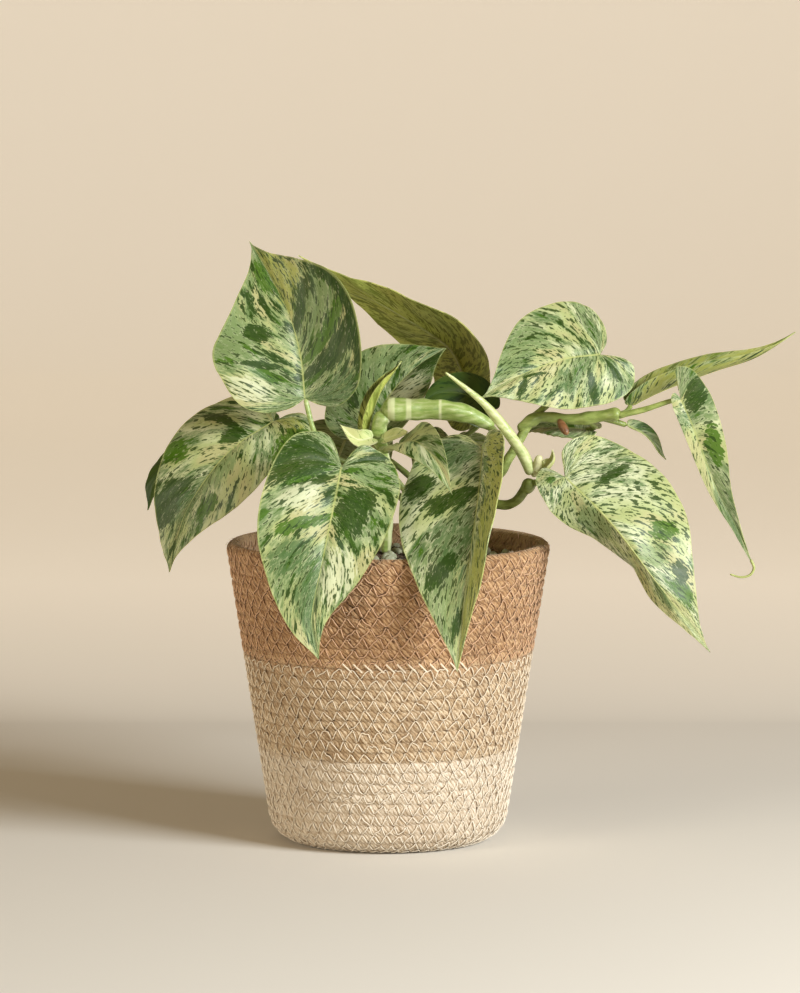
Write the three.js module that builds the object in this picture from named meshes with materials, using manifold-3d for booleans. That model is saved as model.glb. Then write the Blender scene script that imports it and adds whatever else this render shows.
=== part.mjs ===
// Potted variegated heartleaf philodendron in a coiled rope basket.
// Millimetres, +Z up. The origin is the middle of the basket's base, on the surface it stands on.
// +X runs to the right of the plant's front view and +Y away from it.

import * as THREE from 'three';
import { mergeVertices } from 'three/addons/utils/BufferGeometryUtils.js';
import Module from 'manifold-3d';

const wasm = await Module();
wasm.setup();

// Basket: one rope coiled upwards, sewn to the row below, in three colours
const RIM_RADIUS = 75;
const FOOT_RADIUS = 53.5; // where the straight side would meet the floor
const BASKET_HEIGHT = 138.3;
const CORNER_RADIUS = 14;
const ROPE = 5.4; // wall thickness, one rope
const ROPE_PITCH = 4.93; // from one row to the next along the wall
const ROW_RELIEF = 0.55; // depth of the groove between two rows
const ROWS = { lower: 11, middle: 9, upper: 10 };
const FIRST_ROW = -0.4; // the lowest row starts this many rows before the foot circle
const WALL_LENGTH = 147.9; // from the foot circle up the outside to the top of the rim
const BASKET_SIDES = 32;

// Filling: a plastic grow pot with soil, and a domed top dressing of grit and pebbles
const GROW_POT_WALL = 1.4;
const GROW_POT_TOP = 126;
const GROW_POT_SHOULDER = 18; // height where its side meets the chamfer to its floor
const DRAIN_HOLES = 5;
const DRAIN_RADIUS = 4;
const DRAIN_RING = 0.6; // as a share of the basket's floor radius
const DRESSING_EDGE = 127.6;
const DRESSING_CROWN = 132;
const PEBBLES = 44;
const PEBBLE_SIZE = [2.1, 3.2]; // half length, smallest and largest
const PEBBLE_SHAPE = [1, 0.85, 0.72]; // length, width and height as shares of the length
const PEBBLE_TILT = 0.6; // most that one is tipped, in radians
const PEBBLE_JITTER = 0.3; // most that one is moved round the ring, in radians
const PEBBLE_RAISE = 0.25; // height of its middle over the dressing as a share of its half length
const STEM_BURIED = 92; // height of the lower ends of the stems
const STEM_UPRIGHT_TO = 134; // height where the stems start to lean

const GAP = 0.3; // clearance between pieces that touch
const HOLE_CLEARANCE = 0.45; // round a stem in its hole

// Plant
const BLADE_THICKNESS = 0.7;
const TAIL_RADII = [0.7, 0.7, 0.4]; // of the drawn-out end of a tip
const TAIL_STEP = 3;
const PETIOLE_RADIUS = 1.3;
const PETIOLE_TAPER = [1.25, 1, 0.9];
const PETIOLE_SIDES = 6;
const PETIOLE_STEP = 10; // between the rings of a petiole's tube
const SEAT_STEP = 0.1; // by which a petiole's end is set back until it clears its blade
const STEM_RADIUS = 2.4;
const LARGE_BLADE = { rows: 12, columns: 3 };
const SMALL_BLADE = { rows: 8, columns: 2 };
const SMALL_HALF_WIDTH = 14;
const GOLDEN_ANGLE = Math.PI * (3 - Math.sqrt(5));

const material = (color, roughness, metalness = 0) => new THREE.MeshStandardMaterial({
  color,
  roughness,
  metalness,
});

const MATERIALS = {
  creamRope: material('#d9c5aa', 0.9),
  beigeRope: material('#c8ad8b', 0.9),
  tanRope: material('#ba946f', 0.9),
  growPot: material('#3c3a37', 0.6),
  soil: material('#3a2c21', 0.95),
  dressing: material('#8f9182', 0.85),
  stem: material('#8fa352', 0.5),
  paleShoot: material('#b9c58a', 0.45),
  sheath: material('#cbd08c', 0.55),
  leaf: material('#a9bd83', 0.4),
  darkLeaf: material('#4e7a3c', 0.4),
  oliveLeaf: material('#93a050', 0.45),
};

const plant = new THREE.Group();

function addMesh(name, geometry, finish) {
  const mesh = new THREE.Mesh(geometry, finish);
  mesh.name = name;
  plant.add(mesh);
  return mesh;
}

// A solid for joining and cutting, from a closed geometry
function toSolid(geometry) {
  const bare = geometry.clone();
  bare.deleteAttribute('normal');
  bare.deleteAttribute('uv');
  const merged = mergeVertices(bare, 1e-4);
  return new wasm.Manifold(new wasm.Mesh({
    numProp: 3,
    vertProperties: merged.attributes.position.array,
    triVerts: new Uint32Array(merged.index.array),
  }));
}

function toGeometry(solid) {
  const mesh = solid.getMesh();
  const geometry = new THREE.BufferGeometry();
  geometry.setAttribute('position', new THREE.BufferAttribute(new Float32Array(mesh.vertProperties), 3));
  geometry.setIndex(Array.from(mesh.triVerts));
  geometry.computeVertexNormals();
  return geometry;
}

// An outline of [radius, height] points turned round the upright axis
const turnedOnAxis = (outline) => new THREE.LatheGeometry(outline, BASKET_SIDES).rotateX(Math.PI / 2);

const joinAll = (geometries) => geometries.map(toSolid).reduce((all, solid) => all.add(solid));

function uprightRod([x, y], radius, bottom, height) {
  const rod = new THREE.CylinderGeometry(radius, radius, height, 8);
  return rod.rotateX(Math.PI / 2).translate(x, y, bottom + height / 2);
}

// A small seeded random source, so that every run lays the same pebbles
function seededRandom(seed) {
  let state = seed;
  return () => {
    state = (state * 1664525 + 1013904223) % 4294967296;
    return state / 4294967296;
  };
}

// Basket wall: distance along the outside from the foot circle gives radius and height
const SIDE_SLOPE = (RIM_RADIUS - FOOT_RADIUS) / BASKET_HEIGHT;
const SIDE_LEAN = Math.atan(SIDE_SLOPE);
const CORNER_ANGLE = Math.PI / 2 - SIDE_LEAN;
const CORNER_CENTRE = FOOT_RADIUS + SIDE_SLOPE * CORNER_RADIUS - CORNER_RADIUS / Math.cos(SIDE_LEAN);
const CORNER_LENGTH = CORNER_RADIUS * CORNER_ANGLE;

function wallPoint(along, inset) {
  if (along < CORNER_LENGTH) {
    const turn = along / CORNER_RADIUS;
    const reach = CORNER_RADIUS - inset;
    return new THREE.Vector2(CORNER_CENTRE + reach * Math.sin(turn), CORNER_RADIUS - reach * Math.cos(turn));
  }
  const rise = along - CORNER_LENGTH;
  const start = wallPoint(CORNER_LENGTH - 1e-9, inset);
  return new THREE.Vector2(start.x + rise * Math.sin(SIDE_LEAN), start.y + rise * Math.cos(SIDE_LEAN));
}

const insideRadius = (height) => FOOT_RADIUS + SIDE_SLOPE * height - ROPE / Math.cos(SIDE_LEAN);

// One colour of the wall: bulging rows outside, a plain inside, and a floor or a round rim at its end
function basketBand(firstRow, rowCount, { floor = false, rim = false }) {
  const bottom = floor ? 0 : firstRow * ROPE_PITCH + GAP / 2;
  const top = rim ? WALL_LENGTH - ROPE / 2 : (firstRow + rowCount) * ROPE_PITCH - GAP / 2;
  const outline = floor ? [new THREE.Vector2(0, ROPE), new THREE.Vector2(0, 0)] : [wallPoint(bottom, ROPE)];
  for (let row = 0; row < rowCount; row += 1) {
    const start = (firstRow + row) * ROPE_PITCH;
    outline.push(wallPoint(Math.max(start, bottom), row === 0 && floor ? 0 : ROW_RELIEF));
    outline.push(wallPoint(start + ROPE_PITCH / 2, 0));
  }
  if (rim) {
    const centre = wallPoint(top, ROPE / 2);
    for (let turn = 1; turn <= 3; turn += 1) {
      const angle = (turn * Math.PI) / 4;
      const side = (ROPE / 2) * Math.cos(angle);
      outline.push(new THREE.Vector2(centre.x + side, centre.y + (ROPE / 2) * Math.sin(angle)));
    }
  } else {
    outline.push(wallPoint(top, ROW_RELIEF));
  }
  outline.push(wallPoint(top, ROPE));
  if (floor) {
    outline.push(wallPoint(CORNER_LENGTH, ROPE), wallPoint(CORNER_LENGTH / 2, ROPE), wallPoint(0, ROPE));
  }
  outline.push(outline[0].clone());
  return turnedOnAxis(outline);
}

const BEIGE_START = FIRST_ROW + ROWS.lower;
const TAN_START = BEIGE_START + ROWS.middle;
addMesh('basket_lower_cream', basketBand(FIRST_ROW, ROWS.lower, { floor: true }), MATERIALS.creamRope);
addMesh('basket_middle_beige', basketBand(BEIGE_START, ROWS.middle, {}), MATERIALS.beigeRope);
addMesh('basket_upper_tan', basketBand(TAN_START, ROWS.upper, { rim: true }), MATERIALS.tanRope);

// Grow pot: a tapered cup with drain holes, standing on the basket's floor
function growPot() {
  const foot = ROPE + GAP;
  const shoulder = GROW_POT_SHOULDER;
  const outside = (height) => insideRadius(height) - GAP;
  const outline = [
    new THREE.Vector2(0, foot),
    new THREE.Vector2(CORNER_CENTRE, foot),
    new THREE.Vector2(outside(shoulder), shoulder),
    new THREE.Vector2(outside(GROW_POT_TOP), GROW_POT_TOP),
    new THREE.Vector2(outside(GROW_POT_TOP) - GROW_POT_WALL, GROW_POT_TOP),
    new THREE.Vector2(outside(shoulder) - GROW_POT_WALL, shoulder + GROW_POT_WALL / 2),
    new THREE.Vector2(CORNER_CENTRE - GROW_POT_WALL / 2, foot + GROW_POT_WALL),
    new THREE.Vector2(0, foot + GROW_POT_WALL),
    new THREE.Vector2(0, foot),
  ];
  let cup = toSolid(turnedOnAxis(outline));
  for (let hole = 0; hole < DRAIN_HOLES; hole += 1) {
    const angle = (hole * 2 * Math.PI) / DRAIN_HOLES;
    const ring = CORNER_CENTRE * DRAIN_RING;
    const place = [ring * Math.cos(angle), ring * Math.sin(angle)];
    cup = cup.subtract(toSolid(uprightRod(place, DRAIN_RADIUS, foot - GROW_POT_WALL, 3 * GROW_POT_WALL)));
  }
  return toGeometry(cup);
}

addMesh('grow_pot', growPot(), MATERIALS.growPot);

const smoothCurve = (points) => (
  new THREE.CatmullRomCurve3(points.map((p) => new THREE.Vector3(...p)), false, 'catmullrom', 0.5)
);

// A round tube along a smooth path, with closed ends; the radius runs evenly between those given
function tube(points, radii, sides = 8, step = 8) {
  const path = smoothCurve(points);
  const steps = Math.max(2, Math.ceil(path.getLength() / step));
  const frames = path.computeFrenetFrames(steps, false);
  const positions = [];
  const index = [];
  for (let i = 0; i <= steps; i += 1) {
    const radius = valueAlong(radii, i / steps);
    const centre = path.getPointAt(i / steps);
    for (let side = 0; side < sides; side += 1) {
      const angle = (side * 2 * Math.PI) / sides;
      const spoke = frames.normals[i].clone().multiplyScalar(radius * Math.cos(angle));
      spoke.addScaledVector(frames.binormals[i], radius * Math.sin(angle));
      positions.push(...spoke.add(centre).toArray());
      if (i < steps) {
        const a = i * sides + side;
        const b = i * sides + ((side + 1) % sides);
        index.push(a, b, b + sides, a, b + sides, a + sides);
      }
    }
  }
  const first = positions.length / 3;
  positions.push(...path.getPointAt(0).toArray(), ...path.getPointAt(1).toArray());
  for (let side = 0; side < sides; side += 1) {
    const next = (side + 1) % sides;
    index.push(first, next, side, first + 1, steps * sides + side, steps * sides + next);
  }
  const geometry = new THREE.BufferGeometry();
  geometry.setAttribute('position', new THREE.Float32BufferAttribute(positions, 3));
  geometry.setIndex(index);
  return geometry;
}

// Half of a heart-shaped blade, as [share of the half width, place]. A place runs from -1 at the back of
// the lobe by 0 at the widest point to 1 at the tip, and the outline starts at the petiole.
const HALF_OUTLINE = [
  [0, null],
  [0.22, -0.97],
  [0.5, -1],
  [0.78, -0.83],
  [0.94, -0.46],
  [1, 0],
  [0.9, 0.27],
  [0.62, 0.53],
  [0.29, 0.75],
  [0.08, 0.91],
  [0, 1],
];
const LOBE_SHARE = 1 / 3; // share of the outline whose veins start at the petiole
const VEIN_LEAN = 1.3; // how far the other veins start behind the margin that they reach
const CALM_WIDTH = 8; // nearer to the midrib than this a blade waves less
const NARROW_WIDTH = 3; // a half that is narrower than this folds less, down to none at the tip

function halfOutline(length, width, lobe, belly, hollow) {
  const widest = belly * length;
  const stations = HALF_OUTLINE.map(([across, place]) => {
    if (place === null) return new THREE.Vector3(0, 0, 0);
    const along = widest + place * (place < 0 ? widest + lobe : length - widest);
    return new THREE.Vector3(across ** (place > 0 ? hollow : 1) * width, along, 0);
  });
  return new THREE.CatmullRomCurve3(stations, false, 'catmullrom', 0.5);
}

// A number, or the one that a list of numbers gives at a share of the way through it
function valueAlong(value, share) {
  if (!Array.isArray(value)) return value;
  const place = THREE.MathUtils.clamp(share, 0, 1) * (value.length - 1);
  const low = Math.min(Math.floor(place), value.length - 2);
  return THREE.MathUtils.lerp(value[low], value[low + 1], place - low);
}

// The midrib's frame at a distance from the petiole: a point, the way to the tip, the way that the
// upper face looks, and the right-hand side as seen on the upper face with the tip ahead
function ribFrame(rib, faces, distance) {
  const share = THREE.MathUtils.clamp(distance / rib.getLength(), 0, 1);
  const tangent = rib.getTangentAt(share);
  const point = rib.getPointAt(share).addScaledVector(tangent, Math.min(distance, 0));
  const along = share * (faces.length - 1);
  const low = Math.min(Math.floor(along), faces.length - 2);
  const face = new THREE.Vector3(...faces[low]).lerp(new THREE.Vector3(...faces[low + 1]), along - low);
  const normal = face.addScaledVector(tangent, -face.dot(tangent)).normalize();
  return { point, tangent, normal, side: tangent.clone().cross(normal) };
}

// A blade's middle surface, bent along its midrib, folded at it, and curled and waved to its margins
function bladeSurface(leaf, rows, columns) {
  const rib = smoothCurve(leaf.rib);
  const length = rib.getLength();
  const { wave = [0, 0, 1, 0], hollow = [1, 1] } = leaf;
  const positions = [];
  const ids = new Map();

  function vertex(row, column) {
    const v = row / rows;
    const half = column < 0 ? 0 : 1; // 0 is the left half, 1 the right
    const u = Math.abs(column) / columns;
    const start = v <= LOBE_SHARE ? 0 : length * ((v - LOBE_SHARE) / (1 - LOBE_SHARE)) ** VEIN_LEAN;
    const key = u === 0 && start === 0 ? 'base' : row === rows ? 'tip' : `${row} ${column}`;
    if (ids.has(key)) return ids.get(key);
    const margin = halfOutline(length, leaf.half[half], leaf.lobe[half], leaf.belly[half], hollow[half])
      .getPoint(v);
    const across = margin.x * u;
    const along = start + (margin.y - start) * u;
    const frame = ribFrame(rib, leaf.face, key === 'base' ? 0 : along);
    const narrow = v > LOBE_SHARE ? Math.min(1, margin.x / NARROW_WIDTH) : 1;
    const fold = THREE.MathUtils.degToRad(valueAlong(leaf.fold[half], along / length)) * narrow;
    const bend = THREE.MathUtils.degToRad(leaf.curl[half] || 1e-3) / leaf.half[half];
    const sideways = (Math.sin(fold + bend * across) - Math.sin(fold)) / bend;
    const ripple = wave[half] * u * u * Math.sin(wave[2] * 2 * Math.PI * v + wave[3] + half * 2);
    const calm = Math.min(1, across / CALM_WIDTH);
    const lift = (Math.cos(fold) - Math.cos(fold + bend * across)) / bend + ripple * calm;
    frame.point.addScaledVector(frame.side, (half ? 1 : -1) * sideways).addScaledVector(frame.normal, lift);
    ids.set(key, positions.length / 3);
    positions.push(...frame.point.toArray());
    return ids.get(key);
  }

  // The first row is the line from the petiole that a lobe starts at, so nothing lies before it
  const index = [];
  const triangle = (a, b, c) => {
    if (a !== b && b !== c && c !== a) index.push(a, b, c);
  };
  for (let row = 1; row < rows; row += 1) {
    for (let column = -columns; column < columns; column += 1) {
      const a = vertex(row, column);
      const b = vertex(row, column + 1);
      const c = vertex(row + 1, column + 1);
      const d = vertex(row + 1, column);
      if (column < 0) {
        triangle(a, b, c);
        triangle(a, c, d);
      } else {
        triangle(a, b, d);
        triangle(b, c, d);
      }
    }
  }
  const surface = new THREE.BufferGeometry();
  surface.setAttribute('position', new THREE.Float32BufferAttribute(positions, 3));
  surface.setIndex(index);
  surface.computeVertexNormals();
  return surface;
}

// Both faces of a surface, split into the same triangles, joined by a rim round its open edge
function thicken(surface, thickness) {
  const place = surface.attributes.position;
  const normal = surface.attributes.normal;
  const count = place.count;
  const positions = [];
  for (const side of [0.5, -0.5]) {
    for (let i = 0; i < count; i += 1) {
      const offset = side * thickness;
      positions.push(
        place.getX(i) + offset * normal.getX(i),
        place.getY(i) + offset * normal.getY(i),
        place.getZ(i) + offset * normal.getZ(i),
      );
    }
  }
  const source = Array.from(surface.index.array);
  const edges = new Set();
  const index = [];
  for (let i = 0; i < source.length; i += 3) {
    const [a, b, c] = source.slice(i, i + 3);
    index.push(a, b, c, c + count, b + count, a + count);
    edges.add(`${a} ${b}`).add(`${b} ${c}`).add(`${c} ${a}`);
  }
  for (const edge of edges) {
    const [a, b] = edge.split(' ').map(Number);
    if (!edges.has(`${b} ${a}`)) index.push(b, a, a + count, b, a + count, b + count);
  }
  const geometry = new THREE.BufferGeometry();
  geometry.setAttribute('position', new THREE.Float32BufferAttribute(positions, 3));
  geometry.setIndex(index);
  geometry.computeVertexNormals();
  return geometry;
}

// Blades. rib: the midrib from the petiole to the tip. face: the way that the upper face looks, from
// the petiole to the tip. The pairs are the left half and the right half, as seen on the upper face
// with the tip ahead: half width, lobe behind the petiole, place of the widest point as a share of the
// length, how hollow the margin is near the tip, and fold at the midrib and curl to the margin in
// degrees, above 0 towards the upper face. A list of folds runs from the petiole to the tip.
// wave: height on either half, number and phase of the margin's waves. tail: the drawn-out end of a tip.
// from: the petiole's path from its stem.
const BLADES = [
  {
    name: 'leaf_upper_left',
    stem: 'left',
    rib: [[-38, -20, 207], [-40, -18, 226], [-45, -13, 244], [-54, -7, 262], [-64, 0, 278]],
    face: [[0.25, -1, 0.15], [0.1, -1, 0.2], [-0.1, -1, 0.5]],
    half: [40, 34],
    lobe: [5, 5],
    belly: [0.34, 0.44],
    hollow: [1.3, 1.4],
    fold: [4, 34],
    curl: [-12, 14],
    wave: [1.2, 1.2, 2, 0],
    from: [[0, 1, 160], [-16, -8, 170], [-28, -18, 180], [-34, -22, 192]],
  },
  {
    name: 'leaf_arching_back',
    finish: 'oliveLeaf',
    stem: 'back',
    rib: [[38, 40, 203], [31, 47, 223], [8, 49, 239], [-18, 46, 254], [-42, 40, 269]],
    face: [[0.5, 0.6, 0.5], [0.3, 0.6, 0.8], [0.3, 0.5, 0.8]],
    half: [24, 27],
    lobe: [13, 13],
    belly: [0.1, 0.14],
    hollow: [1.2, 1.2],
    fold: [4, 8],
    curl: [-16, -20],
    wave: [0.8, 0.8, 1.5, 1],
    from: [[20, 26, 170], [34, 32, 180], [41, 38, 192]],
  },
  {
    name: 'leaf_lower_left',
    stem: 'left',
    rib: [[-53, -6, 195], [-73, -16, 182], [-90, -20, 160], [-98, -18, 140], [-101, -15, 126]],
    face: [[-0.2, -0.7, 0.7], [-0.3, -0.9, 0.4], [-0.5, -0.9, 0.1]],
    half: [26, 32],
    lobe: [12, 8],
    belly: [0.25, 0.25],
    hollow: [1.1, 1],
    fold: [10, 6],
    curl: [-10, -30],
    wave: [1.4, 1.2, 2, 2],
    from: [[0, 3, 150], [-20, 6, 168], [-38, 6, 182], [-49, 2, 189]],
  },
  {
    name: 'leaf_left_behind',
    finish: 'darkLeaf',
    stem: 'back',
    rib: [[-62, 20, 187], [-86, 27, 180], [-107, 29, 167], [-113, 28, 150]],
    face: [[-0.3, -0.5, 0.9], [-0.6, -0.6, 0.6]],
    half: [22, 18],
    lobe: [11, 11],
    belly: [0.2, 0.25],
    fold: [10, 6],
    curl: [-20, -20],
    from: [[14, 24, 150], [-10, 26, 168], [-38, 23, 180], [-55, 20, 184]],
  },
  {
    name: 'leaf_front_left',
    stem: 'left',
    rib: [[-21, -58, 179], [-24, -69, 164], [-29, -79, 140], [-34, -83, 114], [-31, -84, 95]],
    face: [[0.1, -0.9, 0.45], [0.05, -1, 0.3], [0, -1, 0]],
    half: [28, 33],
    lobe: [12, 15],
    belly: [0.1, 0.3],
    hollow: [1, 0.9],
    fold: [6, 10],
    curl: [-8, -12],
    wave: [1.3, 1.3, 2, 0.5],
    from: [[-2, -6, 178], [-9, -24, 178], [-17, -46, 179]],
  },
  {
    name: 'leaf_front_right',
    stem: 'left',
    rib: [[43, -48, 186], [41, -64, 167], [37, -81, 142], [33, -88, 113], [31, -88, 90]],
    face: [[-0.45, -0.9, 0.3], [-0.4, -1, 0.2], [-0.2, -1, 0]],
    half: [19, 36.5],
    lobe: [6, 10],
    belly: [0.16, 0.27],
    fold: [[40, 46, 36], 10],
    curl: [-20, -6],
    wave: [0.8, 1, 2, 1],
    from: [[47, -5, 192], [49, -14, 191], [46, -34, 189]],
  },
  {
    name: 'leaf_upper_centre',
    stem: 'back',
    rib: [[-8, 20, 190], [2, 25, 206], [14, 29, 218], [27, 32, 226]],
    face: [[-0.3, -0.8, 0.5], [-0.1, -0.8, 0.5]],
    half: [29, 26],
    lobe: [11, 9],
    belly: [0.25, 0.25],
    fold: [6, 20],
    curl: [-10, 20],
    wave: [1, 1, 2, 0],
    from: [[16, 20, 150], [4, 22, 165], [-4, 24, 178]],
  },
  {
    name: 'leaf_upper_right',
    stem: 'right',
    rib: [[98, 6, 225], [80, 0, 223], [60, -8, 216], [43, -15, 207]],
    face: [[0.05, -0.85, 0.55], [-0.1, -0.9, 0.45]],
    half: [26, 31],
    lobe: [14, 6],
    belly: [0.22, 0.2],
    hollow: [0.9, 1.2],
    fold: [2, 2],
    curl: [-20, -12],
    wave: [1.2, 1.2, 2, 2],
    from: [[66, 4, 195], [76, 9, 203], [90, 12, 214]],
  },
  {
    name: 'leaf_rolled_right',
    stem: 'right',
    rib: [[113, 11, 201], [127, 10, 208], [150, 6, 217], [170, 3, 224], [188, 0, 236]],
    face: [[-0.5, -0.3, 0.8], [-0.3, -0.3, 0.9], [-0.3, -0.3, 0.9]],
    half: [10, 10],
    lobe: [2, 2],
    belly: [0.25, 0.25],
    fold: [40, 40],
    curl: [60, 60],
    from: [[104, 1, 197], [110, 7, 198]],
  },
  {
    name: 'leaf_far_right',
    stem: 'right',
    tail: [[167.6, -6, 131], [169.2, -6, 127], [167.5, -6, 123.7], [163.3, -6, 122.6], [158, -6, 124]],
    rib: [[135, -6, 205], [141, -8, 191], [152, -8, 163], [161, -7, 146], [169, -6, 128]],
    face: [[-0.25, -0.9, 0.3], [-0.4, -0.9, 0.2], [-0.3, -1, 0.1]],
    half: [13.5, 5],
    lobe: [14, 4],
    belly: [0.08, 0.06],
    hollow: [1.6, 0.6],
    fold: [6, 20],
    curl: [-14, -10],
    wave: [1, 0.5, 1.5, 0],
    from: [[106, 0, 197], [118, -2, 200], [130, -3, 204]],
  },
  {
    name: 'leaf_lower_right',
    stem: 'front',
    rib: [[81, -34, 172], [102, -45, 152], [122, -50, 126], [136, -49, 108], [147, -46, 93]],
    face: [[0.15, -0.8, 0.6], [0.2, -0.9, 0.4], [0.4, -1, 0.1]],
    half: [39, 16],
    lobe: [12, 10],
    belly: [0.2, 0.12],
    hollow: [1.25, 0.9],
    fold: [2, [-10, -62, -86, -40, 0]],
    curl: [-20, -10],
    wave: [1, 0.5, 1.5, 1],
    from: [[66, -21, 168], [71, -25, 169], [77, -30, 170]],
  },
  {
    name: 'leaf_small_right',
    stem: 'right',
    rib: [[111, 5, 192], [120, 6, 187], [129, 6, 176]],
    face: [[0.3, -0.7, 0.7], [0.5, -0.8, 0.4]],
    half: [4.5, 4.5],
    lobe: [1, 1],
    belly: [0.3, 0.3],
    fold: [25, 40],
    curl: [10, 10],
    from: [[98, 3, 196], [105, 4, 194]],
  },
  {
    name: 'leaf_centre_back',
    finish: 'darkLeaf',
    stem: 'back',
    rib: [[46, 12, 199], [36, 8, 206], [24, 6, 207], [15, 4, 202]],
    face: [[0, -0.8, 0.6], [-0.2, -0.8, 0.5]],
    half: [12, 13],
    lobe: [5, 5],
    belly: [0.25, 0.25],
    fold: [6, 6],
    curl: [-20, -20],
    from: [[20, 24, 176], [34, 22, 184], [44, 17, 193]],
  },
  {
    name: 'leaf_spear_centre',
    stem: 'left',
    rib: [[-10, -9, 191], [-4, -9, 208], [6, -7, 223]],
    face: [[-0.9, -0.4, 0.3], [-0.9, -0.4, 0.3]],
    half: [6, 6],
    lobe: [1.5, 1.5],
    belly: [0.3, 0.3],
    fold: [42, 42],
    curl: [30, 30],
    from: [[-3, -9, 182], [-7, -9, 187]],
  },
  {
    name: 'leaf_small_centre',
    stem: 'left',
    rib: [[5, -21, 186], [13, -42, 189], [22, -60, 182], [29, -71, 168]],
    face: [[-0.1, -0.5, 0.9], [-0.2, -0.8, 0.5]],
    half: [11, 12],
    lobe: [4, 4],
    belly: [0.2, 0.2],
    fold: [20, 12],
    curl: [10, -10],
    from: [[-4, -9, 182], [0, -15, 182.5]],
  },
  {
    name: 'leaf_edge_on_right',
    stem: 'right',
    rib: [[92, 16, 189], [76, 20, 190], [60, 22, 186]],
    face: [[0, -0.2, 1], [0, -0.3, 1]],
    half: [15, 15],
    lobe: [6, 6],
    belly: [0.2, 0.2],
    fold: [8, 8],
    curl: [-20, -20],
    from: [[92, 4, 195], [96, 10, 191]],
  },
  {
    name: 'leaf_back_left',
    stem: 'back',
    rib: [[-20, 52, 182], [-25, 72, 166], [-27, 85, 140], [-26, 88, 104]],
    face: [[0, 0.7, 0.7], [0, 1, 0.3], [0, 1, 0]],
    half: [25, 25],
    lobe: [12, 12],
    belly: [0.2, 0.2],
    fold: [8, 8],
    curl: [-12, -12],
    wave: [1, 1, 2, 1],
    from: [[17, 26, 160], [2, 34, 172], [-12, 45, 179]],
  },
  {
    name: 'leaf_back_right',
    stem: 'back',
    rib: [[30, 52, 180], [31, 71, 166], [30, 85, 140], [28, 88, 108]],
    face: [[0, 0.7, 0.7], [0, 1, 0.3], [0, 1, 0]],
    half: [20, 20],
    lobe: [9, 8],
    belly: [0.2, 0.2],
    fold: [8, 8],
    curl: [-12, -12],
    wave: [1, 1, 2, 0],
    from: [[19, 26, 165], [25, 40, 175]],
  },
  {
    name: 'sheath_left',
    finish: 'sheath',
    rib: [[-7.2, -13.9, 188], [-14, -20, 188], [-22, -22, 195]],
    face: [[-0.2, -0.9, 0.5], [0.2, -0.9, 0.4]],
    half: [5, 5],
    lobe: [1, 1],
    belly: [0.2, 0.35],
    fold: [20, 20],
    curl: [10, 10],
  },
  {
    name: 'sheath_centre',
    finish: 'sheath',
    rib: [[-1.6, -14.8, 187.6], [4, -20, 190], [9, -24, 192]],
    face: [[-0.2, -0.9, 0.5], [-0.2, -0.9, 0.5]],
    half: [3.4, 3.4],
    lobe: [1.4, 1.4],
    belly: [0.5, 0.5],
    hollow: [0.7, 0.7],
    fold: [20, 20],
    curl: [20, 20],
  },
  {
    name: 'sheath_right',
    finish: 'sheath',
    rib: [[69, -24.4, 174.5], [73, -27, 175], [76, -28, 179], [75, -28, 184]],
    face: [[-0.9, -0.3, 0.6], [-0.9, -0.4, 0.2]],
    half: [4.5, 4.5],
    lobe: [0.8, 0.8],
    belly: [0.4, 0.4],
    hollow: [0.8, 0.8],
    fold: [25, 25],
    curl: [35, 35],
  },
];

// Stems: each stands upright in the soil at its foot and follows its path above it
const STEMS = {
  left: {
    foot: [-1, 6],
    runs: [
      { path: [[-1, 6, 132], [0, 3, 150], [0, -3, 168], [-4, -10, 190]], radii: [2.4, 2.3, 2.6] },
      { path: [[-3, -12, 201], [17, -10, 201], [35, -8, 199], [49, -5, 192]], radii: [6, 4.8, 4.4, 2.3] },
      { path: [[-5, -10, 187], [-4, -11, 194], [-1, -12, 200]], radii: [2.6, 3.6, 4.4] },
    ],
    nodes: [[[-4, -10, 189], 3.6]],
  },
  right: {
    foot: [10, 14],
    runs: [
      {
        path: [[10, 14, 132], [14, 12, 141], [30, 7, 150], [50, 1, 168], [57, 1, 179], [66, 4, 195]],
        radii: [2.2, 2.2, 2.2],
      },
      {
        path: [[60, 2, 190], [70, 4, 196], [86, 4, 195], [100, 2, 197], [108, 0, 198]],
        radii: [2.4, 2.4, 2.6],
      },
    ],
    nodes: [[[66, 4, 195], 3.2], [[92, 3.4, 195.5], 3.2], [[105, 1, 197.5], 3.2]],
  },
  front: {
    foot: [8, 3],
    runs: [
      {
        path: [[8, 3, 132], [12, -1, 141], [26, -8, 150], [47, -14, 157], [57, -17, 158], [65, -20, 167]],
        radii: [2.2, 2.2, 2.2],
      },
      { path: [[63, -19, 163], [66, -21, 170]], radii: [2.6, 3] },
    ],
    nodes: [[[65, -21, 167], 3.4]],
  },
  back: {
    foot: [16, 22],
    runs: [
      { path: [[16, 22, 132], [16, 23, 145], [19, 26, 165], [22, 26, 178]], radii: [2.3, 2.3, 2] },
    ],
    nodes: [[[17, 25, 157], 3.2], [[20, 26, 170], 3.2]],
  },
};

// The pale rolled shoot that grows from the front stem's node
const SHOOT = {
  path: [
    [66, -23, 172], [62, -24, 181], [57, -25, 189], [51, -26, 197], [44, -28, 205], [36, -30, 212],
    [26, -32, 220],
  ],
  radii: [2.7, 2.7, 2.6, 2.3, 1.7, 1.1, 0.5],
};

const BLADE_GEOMETRY = new Map(BLADES.map((leaf) => {
  const { rows, columns } = Math.max(...leaf.half) < SMALL_HALF_WIDTH ? SMALL_BLADE : LARGE_BLADE;
  const blade = thicken(bladeSurface(leaf, rows, columns), BLADE_THICKNESS);
  if (!leaf.tail) return [leaf.name, blade];
  return [leaf.name, toGeometry(joinAll([blade, tube(leaf.tail, TAIL_RADII, PETIOLE_SIDES, TAIL_STEP)]))];
}));

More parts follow.
